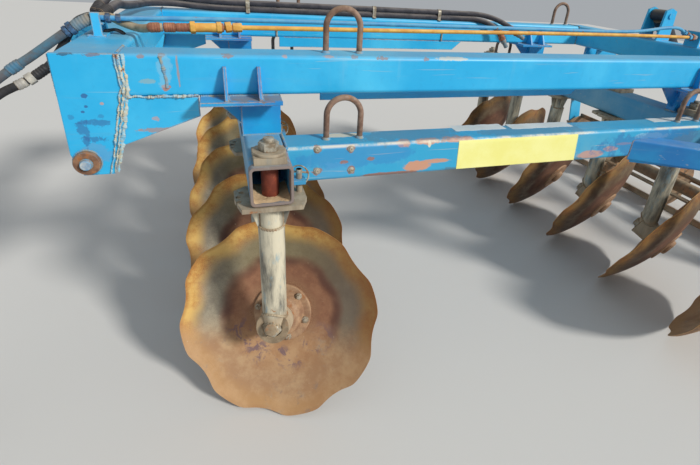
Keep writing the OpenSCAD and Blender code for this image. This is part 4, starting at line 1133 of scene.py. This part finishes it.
def cotter_pin(pile, origin):
    """A wire through the axle's end: an eye on one side and two bent ends on the other."""
    across, side, _ = axes_for(AXLE, NUT_HINT).T
    middle = origin + AXLE * 0.0845
    t = np.linspace(2.5, -2.5, 14)[:, None]
    eye = middle + across * (0.020 + 0.006 * np.cos(t)) + AXLE * (0.003 * np.sin(t))
    bent = middle - across * 0.026 + AXLE * 0.004 + side * 0.006
    pile.tube(np.concatenate([[bent, middle - across * 0.021 + side * 0.001, middle], eye]), WIRE, 8, AXLE_END)
    bent = middle - across * 0.027 - AXLE * 0.006
    leg = [bent, middle - across * 0.021 - side * 0.001, middle - side * 0.001]
    pile.tube(np.array(leg), WIRE, 8, AXLE_END)


# %% [markdown]
# A ring of weld joins the strut to the barrel of its collar, which lies aslant. For each upright line
# through the strut's circle, the ring's height is where the line leaves the barrel: the larger root of
# (distance from the axle's line) squared = (barrel radius) squared.

# %% Seams of a stand
STRUT_RING = 40.5
BARREL_R = 55.0
# below the beam: the sector plate's lower face and the strut's shoulder
PLATE_DEPTH = 18
SHOULDER_DEPTH = 98


def barrel_ring(x, y):
    """The closed line along which the strut's skin meets the collar's barrel."""
    foot = around(STRUT_RING, np.linspace(0, 2 * math.pi, 90, endpoint=False), 0)
    up = np.array([0, 0, 1.0])
    away = foot - (foot @ AXLE)[:, None] * AXLE
    climb = up - (up @ AXLE) * AXLE
    square = climb @ climb
    linear = 2 * (away @ climb)
    rest = (away ** 2).sum(1) - BARREL_R ** 2
    root = np.sqrt(np.maximum(linear * linear - 4 * square * rest, 0))
    return place(x + foot[:, 0], y + foot[:, 1], HUB_Z + (-linear + root) / (2 * square))


def stand_seams(pile, x, y, bottom):
    """The collar's rolled rim and the beads at the strut's foot, neck and gussets."""
    rim = [(54, 66), (55.6, 66.5), (56.2, 68), (55, 69.6), (35, 69.6), (33.2, 68.6), (33, 67)]
    pile.turned(rim, stand_origin(x, y), AXLE, 72, COLLAR_RIM)
    pile.tube(barrel_ring(x, y), 0.0045, 8, BEAD, closed=True, ripple=0.2, ripple_length=0.008)
    plate = bottom - PLATE_DEPTH
    shoulder = bottom - SHOULDER_DEPTH
    t = np.linspace(0, 2 * math.pi, 80, endpoint=False)
    for radius, z, bead in ((35.5, plate, 0.004), (36.5, shoulder + 1, 0.0042)):
        neck = place(x + radius * np.cos(t), y + radius * np.sin(t), z)
        pile.tube(neck, bead, 8, BEAD, closed=True, ripple=0.2, ripple_length=0.008)
    for k in (-1, 1):
        for dy in (-7, 7):
            line = seam((x + k * 34, y + dy, plate - 4), (x + k * 34, y + dy, shoulder + 4))
            pile.tube(line, 0.0026, 6, BEAD, ripple=0.2, ripple_length=0.007)
            line = seam((x + k * 38, y + dy, plate), (x + k * 63, y + dy, plate))
            pile.tube(line, 0.0024, 6, BEAD, ripple=0.2, ripple_length=0.007)


# %% [markdown]
# An angle pin holds the sector plate. A linch pin through its head carries a wire ring, which hangs at
# another angle on each stand, and a spring pin keeps a washer below the plate.

# %% Angle pins, and the stands' hardware put together
ANGLE_PIN_R = 92
ANGLE_PIN_AT = math.radians(196)
SLEEVE_PROFILE = [(15.2, 0), (24.4, 0), (25, 1.2), (25, 102.2), (24.4, 103.4), (15.2, 103.4)]


def angle_pin(pile, x, y, plate_top, seed):
    """The pin's head with its ring, and the washer and spring pin below the plate."""
    head = place(x, y, plate_top + 70)
    pile.turned([(0, 4), (8, 4), (10, 2.5), (10, -8), (9.3, -9)], head, UPRIGHT, 28, NUT)
    hanging = head + np.array([0, 0, -0.006])
    swing = 1.25 + 0.7 * math.sin(2.3 * seed)
    across, up, _ = axes_for((math.cos(swing), math.sin(swing), 0.35)).T
    t = np.linspace(0, 2 * math.pi, 48, endpoint=False)[:, None]
    ring = hanging + across * 0.029 * np.cos(t) + up * (0.029 * np.sin(t) - 0.010)
    pile.tube(ring, 0.0023, 8, NUT, closed=True)
    pile.tube(hanging + across * np.array([[-0.022], [0.0], [0.030]]), 0.0032, 10, NUT)
    foot = place(x, y, plate_top - 14)
    pile.turned([(9, -3), (18, -3), (18, 0), (9, 0)], foot, UPRIGHT, 28, WASHER)
    spring = [(-0.014, 0.0, -0.012), (0, 0.002, -0.012), (0.013, 0.003, -0.014), (0.017, 0.001, -0.026)]
    pile.tube(foot + np.array(spring), 0.0018, 8, NUT)


for number, (name, x, y, side, _) in enumerate(STANDS):
    short_beam = name in ("r1", "r6")
    top = 920 if short_beam else ROW_TOP
    bottom = top - (90 if short_beam else TUBE)
    pile = Pile()
    kingpin_head(pile, x, y * side, top, number)
    castle_nut(pile, stand_origin(x, y * side))
    cotter_pin(pile, stand_origin(x, y * side))
    stand_seams(pile, x, y * side, bottom)
    angle_pin(pile, x + ANGLE_PIN_R * math.cos(ANGLE_PIN_AT), y * side + ANGLE_PIN_R * math.sin(ANGLE_PIN_AT),
              bottom - 4, number)
    if name in ("f1", "f5"):
        # the rusty sleeve round the kingpin, seen in the open end of the row's tube
        pile.turned(SLEEVE_PROFILE, place(x, y * side, 852.3), UPRIGHT, 40, SLEEVE)
    if side < 0:
        mirror_pile(pile)
    piece = pile.build(f"stand_{name}_hardware", "frame",
                       [bolt_steel, stand_paint, collar_rust, collar_rust, weld_dull, sleeve_rust])

# %% [markdown]
# The hitch was made by a heavy hand: three passes of weld lie side by side down the rear edge of the
# cheek, and a rough bead runs along the tube below the beam. A rough bead follows a broken line of
# corners and is pushed about by smoothed noise, so that it looks laid by hand.

# %% Rough welds of the hitch
rng = np.random.default_rng(31)


def wandering(corners, spread, step=2.0, smooth_over=9):
    """Points every step millimetres along a broken line, moved by noise averaged over a few steps."""
    corners = np.array(corners, float)
    gone = gone_along(corners)
    at = np.linspace(0, gone[-1], max(int(gone[-1] / step), 8))
    line = np.stack([np.interp(at, gone, corners[:, k]) for k in range(3)], 1)
    window = np.ones(smooth_over) / smooth_over
    noise = rng.normal(0, spread * math.sqrt(smooth_over), line.shape)
    for k in range(3):
        line[:, k] += np.convolve(noise[:, k], window, "same")
    return place(*line.T)


def lumpy(count, radius, spread=0.22, smooth_over=5):
    """A bead's radius along its length: the plain radius times one plus smoothed noise."""
    noise = np.convolve(rng.normal(0, spread * 2, count), np.ones(smooth_over) / smooth_over, "same")
    return radius / 1000 * (1 + np.clip(noise, -0.4, 0.5))


BAND = [(369, 1212), (366, 1120), (374, 1090), (392, 1018), (411, 944), (433, 868)]
PASS_APART = 9
BACK_TUBE_Z = 1096
PAINTED, BARE = range(2)
roughs = Pile()
for s in (-1, 1):
    face = s * (MAIN_OUT + 0.5)
    for k in (-1, 0, 1):
        line = wandering([(x + PASS_APART * k, face, z) for x, z in BAND], 1.1)
        roughs.tube(line, lumpy(len(line), 5.0), 10, PAINTED, ripple=0.12, ripple_length=0.006, squash=0.45)
    under = [(362, face, BACK_TUBE_Z), (300, face, BACK_TUBE_Z - 3), (178, face, BACK_TUBE_Z + 1)]
    line = wandering(under, 1.3)
    roughs.tube(line, lumpy(len(line), 4.6, 0.35), 9, PAINTED, ripple=0.2, ripple_length=0.006, squash=0.7)
    out = s * MAIN_OUT
    line = wandering([(265, out, 1208), (260, out, 1160), (256, out, 1119)], 0.8)
    roughs.tube(line, lumpy(len(line), 5.0), 9, BARE, ripple=0.12, ripple_length=0.006, squash=0.5)
piece = roughs.build("hitch_rough_welds", "frame", [weld_cream, weld_steel])

# %% [markdown]
# Each lower link pin ends in a boss on the cheek's outer face. Boss and pin end are turned profiles,
# and a ring of weld runs round either one, square to the machine's side axis.

# %% Ends of the lower link pins
PIN_X = 496
PIN_Z = 906
PIN_END, BOSS, RING = range(3)
pins = Pile()
for s in (-1, 1):
    outward = (0, s, 0)
    foot = place(PIN_X, s * MAIN_OUT, PIN_Z)
    boss = [(34.2, 0), (34.8, 0.8), (34.8, 16.6), (33.4, 18.7), (16, 18.7), (14.4, 18.2)]
    pins.turned(boss, foot, outward, 64, BOSS)
    pins.turned([(14.3, 17), (14.6, 18), (14.6, 30.5), (13.2, 32.2), (0, 32.3)], foot, outward, 40, PIN_END)
    for radius, lift, bead, scale, count in ((15.2, 19, 0.0022, 0.006, 60), (35.4, 1, 0.0032, 0.007, 100)):
        t = np.linspace(0, 2 * math.pi, count, endpoint=False)
        ring = place(PIN_X + radius * np.cos(t), s * (MAIN_OUT + lift), PIN_Z + radius * np.sin(t))
        pins.tube(ring, bead, 8, RING, closed=True, ripple=0.2, ripple_length=scale)
piece = pins.build("lower_link_pin_ends", "frame", [pin_paint, pin_rust, weld_steel])

# %% [markdown]
# The side tubes carry a blank yellow plate, blank white strips and four screws. The plate is a skin that
# follows the tube's rounded corner: y = middle of the corner + root(r squared - height squared).

# %% Blank plate, strips and screws
CORNER = 14
CORNER_Z = ROW_TOP - CORNER
CORNER_Y = SIDE_OUT - CORNER


def side_skin(low, high, z0, z1, lift):
    """A skin on the side tube between two heights. Low and high give its two x ends at each height."""
    u = np.array([0, 0, *np.linspace(0, 1, 22), 1, 1])
    v = np.array([0, 0, *np.linspace(0, 1, 16), 1, 1])
    rim_u = np.array([0, 1] + [1] * 22 + [1, 0])
    rim_v = np.array([0, 1] + [1] * 16 + [1, 0])
    z = z0 + (z1 - z0) * v[None, :] + 0 * u[:, None]
    x0 = low[0] + (high[0] - low[0]) * v[None, :]
    x1 = low[1] + (high[1] - low[1]) * v[None, :]
    x = x0 + (x1 - x0) * u[:, None]
    over = np.clip(z - CORNER_Z, 0, CORNER - 0.2)
    thick = lift * rim_u[:, None] * rim_v[None, :] - 0.3
    radius = CORNER + thick
    y = CORNER_Y + np.sqrt(np.maximum(radius ** 2 - over ** 2, 0))
    return np.stack([x, y, z], -1)


PLATE, STRIP, SCREW = range(3)
STRIPS = [(-672, -886, 640, 697), (-908, -1190, 650, 704), (-1622, -1876, 656, 700)]
STRIP_POINTS = 40
STRIP_LIFT = 0.9
SCREWS = [(-152, 953), (-261, 950), (-153, 881), (-265, 876)]
SCREW_HEAD = [(11, 0), (11, 1.4), (9.8, 1.8), (7.6, 1.9), (7.2, 4.2), (5.6, 5.2), (2.6, 5.3), (2.2, 3.6),
              (0, 3.5)]
trim = Pile()
for s in (-1, 1):
    grid = side_skin((-653, -1173), (-647, -1160), 850, 957, 1.1)
    grid[..., 1] *= s
    trim.grid(grid / 1000 + place(0, 0, 0), paint=PLATE, flip=s > 0)
    for x0, x1, y0, y1 in STRIPS:
        along = np.linspace(x0, x1, STRIP_POINTS)
        torn = np.convolve(rng.normal(0, 2.2, STRIP_POINTS), np.ones(3) / 3, "same")
        level = np.full(STRIP_POINTS, ROW_TOP - 0.2)
        a = np.stack([along, y0 + torn, level], 1)
        b = np.stack([along, y1 - torn[::-1], level], 1)
        rows = np.stack([a, a + [0, 1, STRIP_LIFT], b + [0, -1, STRIP_LIFT], b], 1)
        rows[..., 1] *= s
        trim.grid(rows / 1000 + place(0, 0, 0), paint=STRIP, flip=s < 0)
    for x, z in SCREWS:
        origin = place(x, s * (SIDE_OUT - (1 if z > CORNER_Z else 0)), z)
        trim.turned(SCREW_HEAD, origin, (0, s, 0), 30, SCREW)
piece = trim.build("side_tube_trim", "frame", [plate_yellow, strip_white, bolt_steel])

# %% [markdown]
# Dirt has gathered in the open tube ends. Each mound is a small field of heights made of a few sine
# waves and noise, highest along the tube's walls, and it thins out towards the open end.

# %% Dirt in the tube ends
INNER_HALF = 51
DIRT_FROM = 776
DIRT_TO = 897.5
INNER_FLOOR = 850.3
mounds = Pile()
for end in (-1, 1):
    across = np.linspace(-INNER_HALF, INNER_HALF, 42)
    along = np.linspace(DIRT_FROM, DIRT_TO, 44)
    a, b = np.meshgrid(across, along, indexing="ij")
    wall = (np.abs(a) / INNER_HALF) ** 4 * 9
    rise = 3.2 + 1.6 * np.sin(a / 13 + end) * np.sin(b / 17) + rng.normal(0, 0.55, a.shape) + wall
    fade = np.clip((DIRT_TO - b) / 16, 0, 1) ** 0.6
    grid = np.stack([a, end * b, INNER_FLOOR + np.clip(rise * fade, 0.2, 14)], -1)
    mounds.grid(grid / 1000 + place(0, 0, 0), flip=end < 0)
piece = mounds.build("tube_end_dirt", "frame", [soil])

# %% [markdown]
# Small rods and pegs stand on the far beam, and a bent pair of thin rods reaches over the near one
# behind the hose post. They are tubes along lines of a few places, with their corners rounded.

# %% Small rods


def rounded(corners, cut=12, points=7):
    """Replaces each corner of a broken line by a short arc: a quadratic curve with the corner as its pull."""
    corners = np.array(corners, float)
    line = [corners[0]]
    for before, here, after in zip(corners[:-2], corners[1:-1], corners[2:]):
        a = here + (before - here) / np.linalg.norm(before - here) * cut
        b = here + (after - here) / np.linalg.norm(after - here) * cut
        t = np.linspace(0, 1, points)[:, None]
        line.extend((1 - t) ** 2 * a + 2 * t * (1 - t) * here + t ** 2 * b)
    line.append(corners[-1])
    return np.array(line)


STEEL_ROD, BLACK_ROD = range(2)
PEG_Y = -526.5
ROD_FOOT = 1096
rods = Pile()
for y in (297, 315):
    path = [(462, y, 1222), (428, y, 1228), (404, y, 1216), (396, y, 1150), (396, y, ROD_FOOT)]
    rods.tube(place(*rounded(path).T), 0.0042, 12, BLACK_ROD)
for x, high in ((-196, 1140), (-1205, 1138)):
    rods.tube(place(x, PEG_Y, np.linspace(ROD_FOOT, high, 6)), 0.005, 12, STEEL_ROD)
piece = rods.build("small_rods", "frame", [bolt_steel, rubber_black])


# %% [markdown]
# Hoses and pipes run over the hitch and along the far beam. Each is one round section carried along a
# smooth line through its table of places. The line between two places is a cubic that passes through
# both and leaves each along the line between its neighbours (a Catmull-Rom curve).

# %% Hose lines
PIPE_BLUE = [
    (466, 352, 1268.3), (430, 352, 1268.3), (380, 346, 1268), (240, 332, 1270), (0, 318, 1272),
    (-600, 300, 1274), (-1200, 282, 1274), (-1800, 262, 1276), (-2060, 255, 1300), (-2160, 250, 1300),
    (-2230, 248, 1272), (-2262, 248, 1268)
]
PIPE_YELLOW = [
    (88.8, 388.93, 1253.8), (0, 383.6, 1255.3), (-600, 356, 1258), (-1200, 328, 1262),
    (-1800, 300, 1264), (-2262, 284, 1262)
]
HOSE_LOW_A = [
    (468, 352, 1268.3), (478, 352, 1268.1), (490, 352, 1263), (510, 353, 1253), (540, 356, 1235),
    (600, 368, 1193), (660, 384, 1150), (720, 404, 1110), (800, 440, 1045), (890, 485, 945),
    (965, 530, 810), (1005, 565, 660), (1015, 595, 510), (1005, 630, 370), (990, 680, 240),
    (985, 745, 140), (985, 830, 68), (990, 930, 28), (996, 1030, 18)
]
HOSE_LOW_B = [
    (478, 322, 1268.3), (488, 322, 1268.2), (502, 321, 1264.5), (530, 320, 1250), (560, 322, 1215),
    (590, 330, 1165), (630, 350, 1115), (690, 380, 1075), (760, 415, 1040), (850, 450, 960),
    (930, 480, 840), (985, 500, 700), (1015, 520, 540), (1030, 550, 390), (1035, 600, 260),
    (1030, 670, 150), (1028, 760, 74), (1032, 860, 30), (1038, 960, 18)
]
HOSE_MID = [
    (477.1, 322, 1268.3), (456, 322, 1268.3), (432, 322.5, 1267.2), (400, 328, 1252), (360, 346, 1241),
    (334, 378, 1243), (306, 401, 1249.8), (275.5, 400.1, 1250.8)
]
HOSE_TOP_A = [
    (470, 290, 1270.3), (448, 240, 1284), (444, 120, 1288), (440, 0, 1276), (438, -150, 1264),
    (432, -300, 1255), (415, -420, 1250), (370, -505, 1246), (300, -548, 1242), (200, -558, 1233),
    (80, -558, 1228.4), (-100, -558, 1228.4), (-400, -558, 1228.4), (-700, -558, 1228.4),
    (-1000, -558, 1228.4), (-1200, -558, 1228.4), (-1330, -556, 1228.4), (-1440, -532, 1228),
    (-1520, -498, 1206), (-1575, -472, 1168), (-1600, -462, 1130)
]
HOSE_TOP_B = [
    (490, 256, 1270.3), (474, 200, 1300), (466, 100, 1316), (462, -10, 1308), (460, -160, 1296),
    (452, -300, 1286), (430, -420, 1281), (378, -502, 1277), (302, -546, 1273), (202, -558, 1264),
    (80, -558, 1258.9), (-100, -558, 1258.9), (-400, -558, 1258.9), (-700, -558, 1258.9),
    (-1000, -558, 1258.9), (-1200, -558, 1258.9), (-1330, -556, 1258.9), (-1450, -540, 1258),
    (-1550, -512, 1240), (-1640, -486, 1204), (-1700, -468, 1166)
]


def smooth_line(places, steps):
    """A curve through every place: (2b + (c-a)u + (2a-5b+4c-d)u^2 + (3b-a-3c+d)u^3) / 2 for u from 0 to 1."""
    p = place(*np.array(places).T)
    a = p[np.maximum(np.arange(len(p) - 1) - 1, 0)][:, None]
    b = p[:-1][:, None]
    c = p[1:][:, None]
    d = p[np.minimum(np.arange(len(p) - 1) + 2, len(p) - 1)][:, None]
    u = (np.arange(steps) / steps)[None, :, None]
    line = (2 * b + (c - a) * u + (2 * a - 5 * b + 4 * c - d) * u ** 2 + (3 * b - a - 3 * c + d) * u ** 3) / 2
    return np.concatenate([line.reshape(-1, 3), p[-1:]])


def length_of(line):
    """The sum of the distances between neighbouring points."""
    return float(np.linalg.norm(np.diff(line, axis=0), axis=1).sum())


# %% [markdown]
# A hose that ends in the open carries a quick coupler: a hex nut, a sleeve with a groove and a plug's
# tip, all set along the line from the hose's last place but one to its last.

# %% Couplings
COUPLER_LENGTH = 88
COUPLER_PROFILE = [(0, 15), (16.5, 15), (17, 16.5), (17, 30), (15, 31.5), (15, 34), (17, 35.5), (17, 39),
                   (13, 41), (13, 60), (11, 62), (11, 66), (13, 68), (12.4, 86), (10.5, 88), (0, 88)]


def coupling(name, places, length):
    """A quick coupler on the last place of a hose, its heights shortened to the length in mm."""
    here = place(*places[-1])
    ahead = here - place(*places[-2])
    ahead = ahead / np.linalg.norm(ahead)
    pile = Pile()
    k = length / COUPLER_LENGTH
    pile.prism(32, 15 * k, here + ahead * 0.0013, ahead, 6, paint=0)
    pile.turned(np.array(COUPLER_PROFILE) * [1, k], here + ahead * 0.0012, ahead, 40, 1)
    piece = pile.build(name, "frame", [coupler_rust, ferrule_dusty])
    return piece


couplings = [coupling("coupling_low_a", HOSE_LOW_A, 86), coupling("coupling_low_b", HOSE_LOW_B, 86),
             coupling("coupling_top_a", HOSE_TOP_A, 64), coupling("coupling_top_b", HOSE_TOP_B, 64)]
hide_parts("hose_couplers")

# %% [markdown]
# Each hose takes the place of a packed one, and its length is measured along the
# drawn line. The two pipes are stiff, so they are plain pieces.

# %% Hoses and pipes
# name, places, radius in mm, finish, where its far end goes, stiffness, lay, pieces on it
CORDS = [
    ("hose_low_a", HOSE_LOW_A, 13, hose_grey, "connector", "medium", "loose", [couplings[0]]),
    ("hose_low_b", HOSE_LOW_B, 13, rubber_black, "connector", "medium", "loose", [couplings[1]]),
    ("hose_mid", HOSE_MID, 13, hose_tan, "object", "stiff", "loose", [nodes["pipe_coupler"]]),
    ("hose_top_a", HOSE_TOP_A, 15, hose_dusty, "fitting", "medium", "loose", [couplings[2]]),
    ("hose_top_b", HOSE_TOP_B, 15, hose_dusty, "fitting", "medium", "loose", [couplings[3]]),
]
for name, places, radius, finish, far_end, stiffness, lay, with_pieces in CORDS:
    line = smooth_line(places, 10)
    pile = Pile()
    pile.tube(line, radius / 1000, 20)
    piece = pile.build(name + "_hose", "frame", [finish])
    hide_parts(name)
    print(name, "length", round(length_of(line), 3), "m")
for name, places, finish, slot_name in (("pipe_blue", PIPE_BLUE, pipe_paint, "pipe_blue_paint"),
                                        ("pipe_yellow", PIPE_YELLOW, pipe_yellow_paint, "pipe_yellow_paint")):
    pile = Pile()
    pile.tube(smooth_line(places, 8), 0.008, 20)
    piece = pile.build(name + "_tube", "frame", [finish])
    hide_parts(name)
nodes["pipe_coupler"].data.materials.clear()
nodes["pipe_coupler"].data.materials.append(coupler_rust)

# %% [markdown]
# Ferrules and nuts sit on the hoses' ends. A ferrule is a tube with crimped ridges: its radius is the
# sleeve's plus a small cosine of the way along. The nuts are six-sided prisms that look along the line.

# %% Ferrules and nuts


def at_length(line, distance):
    """The places at distances gone along a line, in mm."""
    gone = gone_along(line) * 1000
    return np.stack([np.interp(distance, gone, line[:, k]) for k in range(3)], -1)


def ferrule(pile, line, start, length, radius, ridge, count, paint):
    """A crimped sleeve round a line of points, from a distance gone along it over a length, in mm."""
    at = np.linspace(start, start + length, 60)
    t = (at - start) / length
    r = radius + ridge * np.cos(2 * math.pi * count * t)
    r = np.where((t < 0.04) | (t > 0.96), r - 1.2, r)
    pile.tube(at_length(line, at), r / 1000, 28, paint)


def nut(pile, line, distance, across, height, paint):
    """A hexagon at a distance gone along a line of points, in mm."""
    here, further = at_length(line, np.array([distance, distance + 3]))
    pile.prism(across, height, here, further - here, 6, paint=paint)


low_a = smooth_line(HOSE_LOW_A, 10)
low_b = smooth_line(HOSE_LOW_B, 10)
mid = smooth_line(HOSE_MID, 10)
top_a = smooth_line(HOSE_TOP_A, 10)
top_b = smooth_line(HOSE_TOP_B, 10)
blue_line = smooth_line(PIPE_BLUE, 10)
yellow_line = smooth_line(PIPE_YELLOW, 10)
COUPLER = [(274, 400.04, 1250.8), (200, 395.6, 1252), (90, 389, 1253.8)]
coupler_front = np.linspace(place(*COUPLER[0]), place(*COUPLER[1]), 30)
coupler_rear = np.linspace(place(*COUPLER[1]), place(*COUPLER[2]), 30)

(DUSTY_FIT, STAINED_FIT, BLUE_FIT, BLACK_FIT, CREAM_FIT, RUSTY_FIT, YELLOW_FIT, PIPE_FIT,
 SILVER_FIT) = range(9)
fittings = Pile()
ferrule(fittings, low_a, 14, 58, 17.5, 0.5, 6, DUSTY_FIT)
nut(fittings, low_a, 74, 36, 15, BLUE_FIT)
nut(fittings, low_a, 92, 31, 12, BLUE_FIT)
ferrule(fittings, low_a, 262, 40, 16.0, 0.5, 4, STAINED_FIT)
ferrule(fittings, low_b, 232, 46, 15.6, 0.5, 5, BLACK_FIT)
nut(fittings, low_b, 280, 32, 22, CREAM_FIT)
ferrule(fittings, low_b, 306, 30, 15.2, 0.5, 3, CREAM_FIT)
ferrule(fittings, mid, 198, 30, 15.2, 0.4, 5, RUSTY_FIT)
nut(fittings, blue_line, 24, 27, 14, BLUE_FIT)
nut(fittings, blue_line, 52, 24, 14, BLUE_FIT)
nut(fittings, yellow_line, 4, 30, 20, YELLOW_FIT)
nut(fittings, yellow_line, 28, 26, 30, YELLOW_FIT)
ferrule(fittings, coupler_front, 2, 34, 15.0, 0.5, 5, RUSTY_FIT)
ferrule(fittings, coupler_front, 38, 36, 13.6, 0.4, 4, RUSTY_FIT)
ferrule(fittings, coupler_rear, 0, 108, 14.8, 0.2, 3, YELLOW_FIT)
nut(fittings, coupler_rear, 6, 34, 16, YELLOW_FIT)
nut(fittings, coupler_rear, 88, 32, 16, YELLOW_FIT)
for line in (top_a, top_b):
    total = length_of(line) * 1000
    ferrule(fittings, line, 4, 44, 18.0, 0.6, 6, BLACK_FIT)
    ferrule(fittings, line, total - 52, 48, 18.0, 0.6, 6, RUSTY_FIT)
    nut(fittings, line, total - 6, 36, 16, RUSTY_FIT)
for line in (blue_line, yellow_line):
    total = length_of(line) * 1000
    nut(fittings, line, total - 60, 26, 16, PIPE_FIT)
    nut(fittings, line, total - 40, 30, 14, RUSTY_FIT)
    nut(fittings, line, total - 22, 24, 18, SILVER_FIT)
piece = fittings.build("hose_fittings", "frame",
                       [ferrule_dusty, hose_stained, nut_blue, ferrule_black, coupler_cream, coupler_rust,
                        pipe_yellow_paint, pipe_paint, ferrule_silver])

# %% [markdown]
# Straps hold the two upper hoses on the far beam: thin bands bent over both, with a bolt at each side.
# A band's line goes up one leg, over a half circle round the upper hose and down the other leg.

# %% Hose straps
STRAP_XS = (-50, -760, -1180)
HOSES_Y = -558
UPPER_HOSE_Z = 1258.9
STRAP_R = 17.2
TAB_R = 34
straps = Pile()
for x in STRAP_XS:
    a = np.linspace(0, math.pi, 30)
    leg = np.linspace(1216, 1256, 8)
    across = np.concatenate([np.full(8, -STRAP_R), -STRAP_R * np.cos(a), np.full(8, STRAP_R)])
    height = np.concatenate([leg, UPPER_HOSE_Z + STRAP_R * np.sin(a), leg[::-1]])
    line = place(x, HOSES_Y + across, height)
    wide = np.stack([line + [k / 1000, 0, 0] for k in (-10, -9.4, 9.4, 10)], 1)
    straps.grid(wide, paint=0, flip=True)
    for s in (-1, 1):
        bolt = [(7, 0), (7, 3), (5.5, 4), (0, 4.2)]
        straps.turned(bolt, place(x, HOSES_Y + s * 26, MAIN_TOP), UPRIGHT, 20, 1)
        near = HOSES_Y + s * STRAP_R
        far = HOSES_Y + s * TAB_R
        tab = place(np.array([x - 10, x + 10, x + 10, x - 10]), np.array([near, near, far, far]), 0)
        straps.slab(tab[:, :2], 0.003, np.array([0, 0, MAIN_TOP / 1000]), np.eye(3))
piece = straps.build("hose_straps", "frame", [bolt_steel, bolt_steel])


# %% [markdown]
# The roller hangs in two flanged bearings. The photograph doesn't show them, so they get the plain
# fittings that such parts have: a capped housing with four bolts and a grease nipple.

# %% Roller bearings
AXLE_X = -2990
AXLE_Z = 210
PLATE_Y = 1060
BEARING_BOLTS_R = 0.053
HOUSING = [(30, 0.1), (63, 0.1), (64.5, 1.5), (64.5, 7), (62, 9), (48, 11), (44, 14), (43, 22), (40, 25.5),
           (14, 27), (12, 26), (0, 26)]
bearings = Pile()
for s in (-1, 1):
    middle = place(AXLE_X, s * PLATE_Y, AXLE_Z)
    outward = np.array([0, s, 0])
    bearings.turned(HOUSING, middle, outward, 56, 0)
    for k in range(4):
        a = math.pi / 4 + k * math.pi / 2
        foot = middle + np.array([math.cos(a), 0, math.sin(a)]) * BEARING_BOLTS_R + outward * 0.0085
        bearings.prism(17, 9, foot, outward, 6, paint=1)
        bearings.turned([(0, 8), (5, 8), (5, 14), (4, 15), (0, 15)], foot, outward, 18, 1)
    nipple = middle + np.array([0.018, 0, 0.022]) + outward * 0.025
    bearings.turned([(4, 0), (4, 4), (2.6, 5), (3.4, 8), (2, 10), (0, 10.2)], nipple, outward, 16, 1)
piece = bearings.build("roller_bearings", "roller_arm", [collar_rust, bolt_steel])

# %% [markdown]
# A hydraulic cylinder lifts the roller. It isn't in the photograph either, and gets a gland nut at its
# mouth, two ports for its hoses and the heads of its lower pin. All are turned about the cylinder's own
# line, or about the line that stands square to it.

# %% Cylinder fittings
CYLINDER_TOP = place(-2310, 0, 1345)
CYLINDER_EYE = place(-2885, 0, 720)
down = (CYLINDER_EYE - CYLINDER_TOP) / np.linalg.norm(CYLINDER_EYE - CYLINDER_TOP)
proud = np.array([down[2], 0, -down[0]])
GLAND = [(42, 446), (43.6, 447.5), (43.6, 462), (42.2, 463.5), (42.2, 466), (43.6, 467.5), (43.6, 489),
         (42.6, 491.6), (29, 491.6), (27, 493.8), (23.4, 493.8), (22.6, 491)]
PORTS_AT = (84, 428)
gland = Pile()
gland.turned([(42, 18), (43.2, 19), (43.2, 34), (42, 35.5)], CYLINDER_TOP, down, 56, 0)
gland.turned(GLAND, CYLINDER_TOP, down, 56, 0)
for at in PORTS_AT:
    foot = CYLINDER_TOP + down * at / 1000 + proud * 0.0412
    gland.turned([(15, 0), (15, 6), (13.6, 7.5), (8, 7.5)], foot, proud, 30, 0)
    gland.prism(22, 12, foot + proud * 0.0074, proud, 6, paint=1)
    gland.turned([(8.2, 19), (8.2, 24), (7, 25.4), (0, 25.6)], foot, proud, 22, 1)
piece = gland.build("cylinder_gland_and_ports", "barrel", [cylinder_black, bolt_steel])
pin_heads = Pile()
for s in (-1, 1):
    head = CYLINDER_EYE + np.array([0, s * 0.048, 0])
    pin_heads.turned([(14, 0.1), (14, 3.6), (13, 5), (0, 5)], head, (0, s, 0), 30, 0)
piece = pin_heads.build("cylinder_pin_heads", "roller_arm", [bolt_steel])


# %% [markdown]
# The machine stands on a plain pale floor, which is part of the stage and not of the model.

# %% Floor
FLOOR_REACH = 14.0
floor_mesh = bpy.data.meshes.new("floor")
corners = [(x * FLOOR_REACH, y * FLOOR_REACH, 0) for x, y in ((-1, -1), (1, -1), (1, 1), (-1, 1))]
floor_mesh.from_pydata(corners, [], [(0, 1, 2, 3)])
floor = bpy.data.objects.new("floor", floor_mesh)
bpy.context.scene.collection.objects.link(floor)
floor_finish, _, shader = new_finish("floor_finish")
shader.inputs["Base Color"].default_value = srgb(214, 213, 210)
shader.inputs["Roughness"].default_value = 0.95
floor_mesh.materials.append(floor_finish)

# %% [markdown]
# A broad sun stands behind the camera, to its right, as in the photograph, and an even pale sky fills
# the shadows. Together they light a surface that faces the sun at about the level at which its colour
# is written.

# %% Sun and sky
SUN_FROM = np.array([-0.55, 0.65, 0.55])
sun_data = bpy.data.lights.new("sun", "SUN")
sun_data.energy = 2.85
sun_data.angle = math.radians(9)
sun_data.color = (1.0, 0.965, 0.91)
sun = bpy.data.objects.new("sun", sun_data)
bpy.context.scene.collection.objects.link(sun)
sun_axes = axes_for(SUN_FROM)
sun.matrix_world = Matrix([[*map(float, sun_axes[i]), 0] for i in range(3)] + [[0, 0, 0, 1]])

world = bpy.data.worlds.new("sky")
world.use_nodes = True
background = world.node_tree.nodes["Background"]
background.inputs["Color"].default_value = (0.90, 0.95, 1.0, 1.0)
background.inputs["Strength"].default_value = 0.42
bpy.context.scene.world = world
print("sun strength:", sun_data.energy)
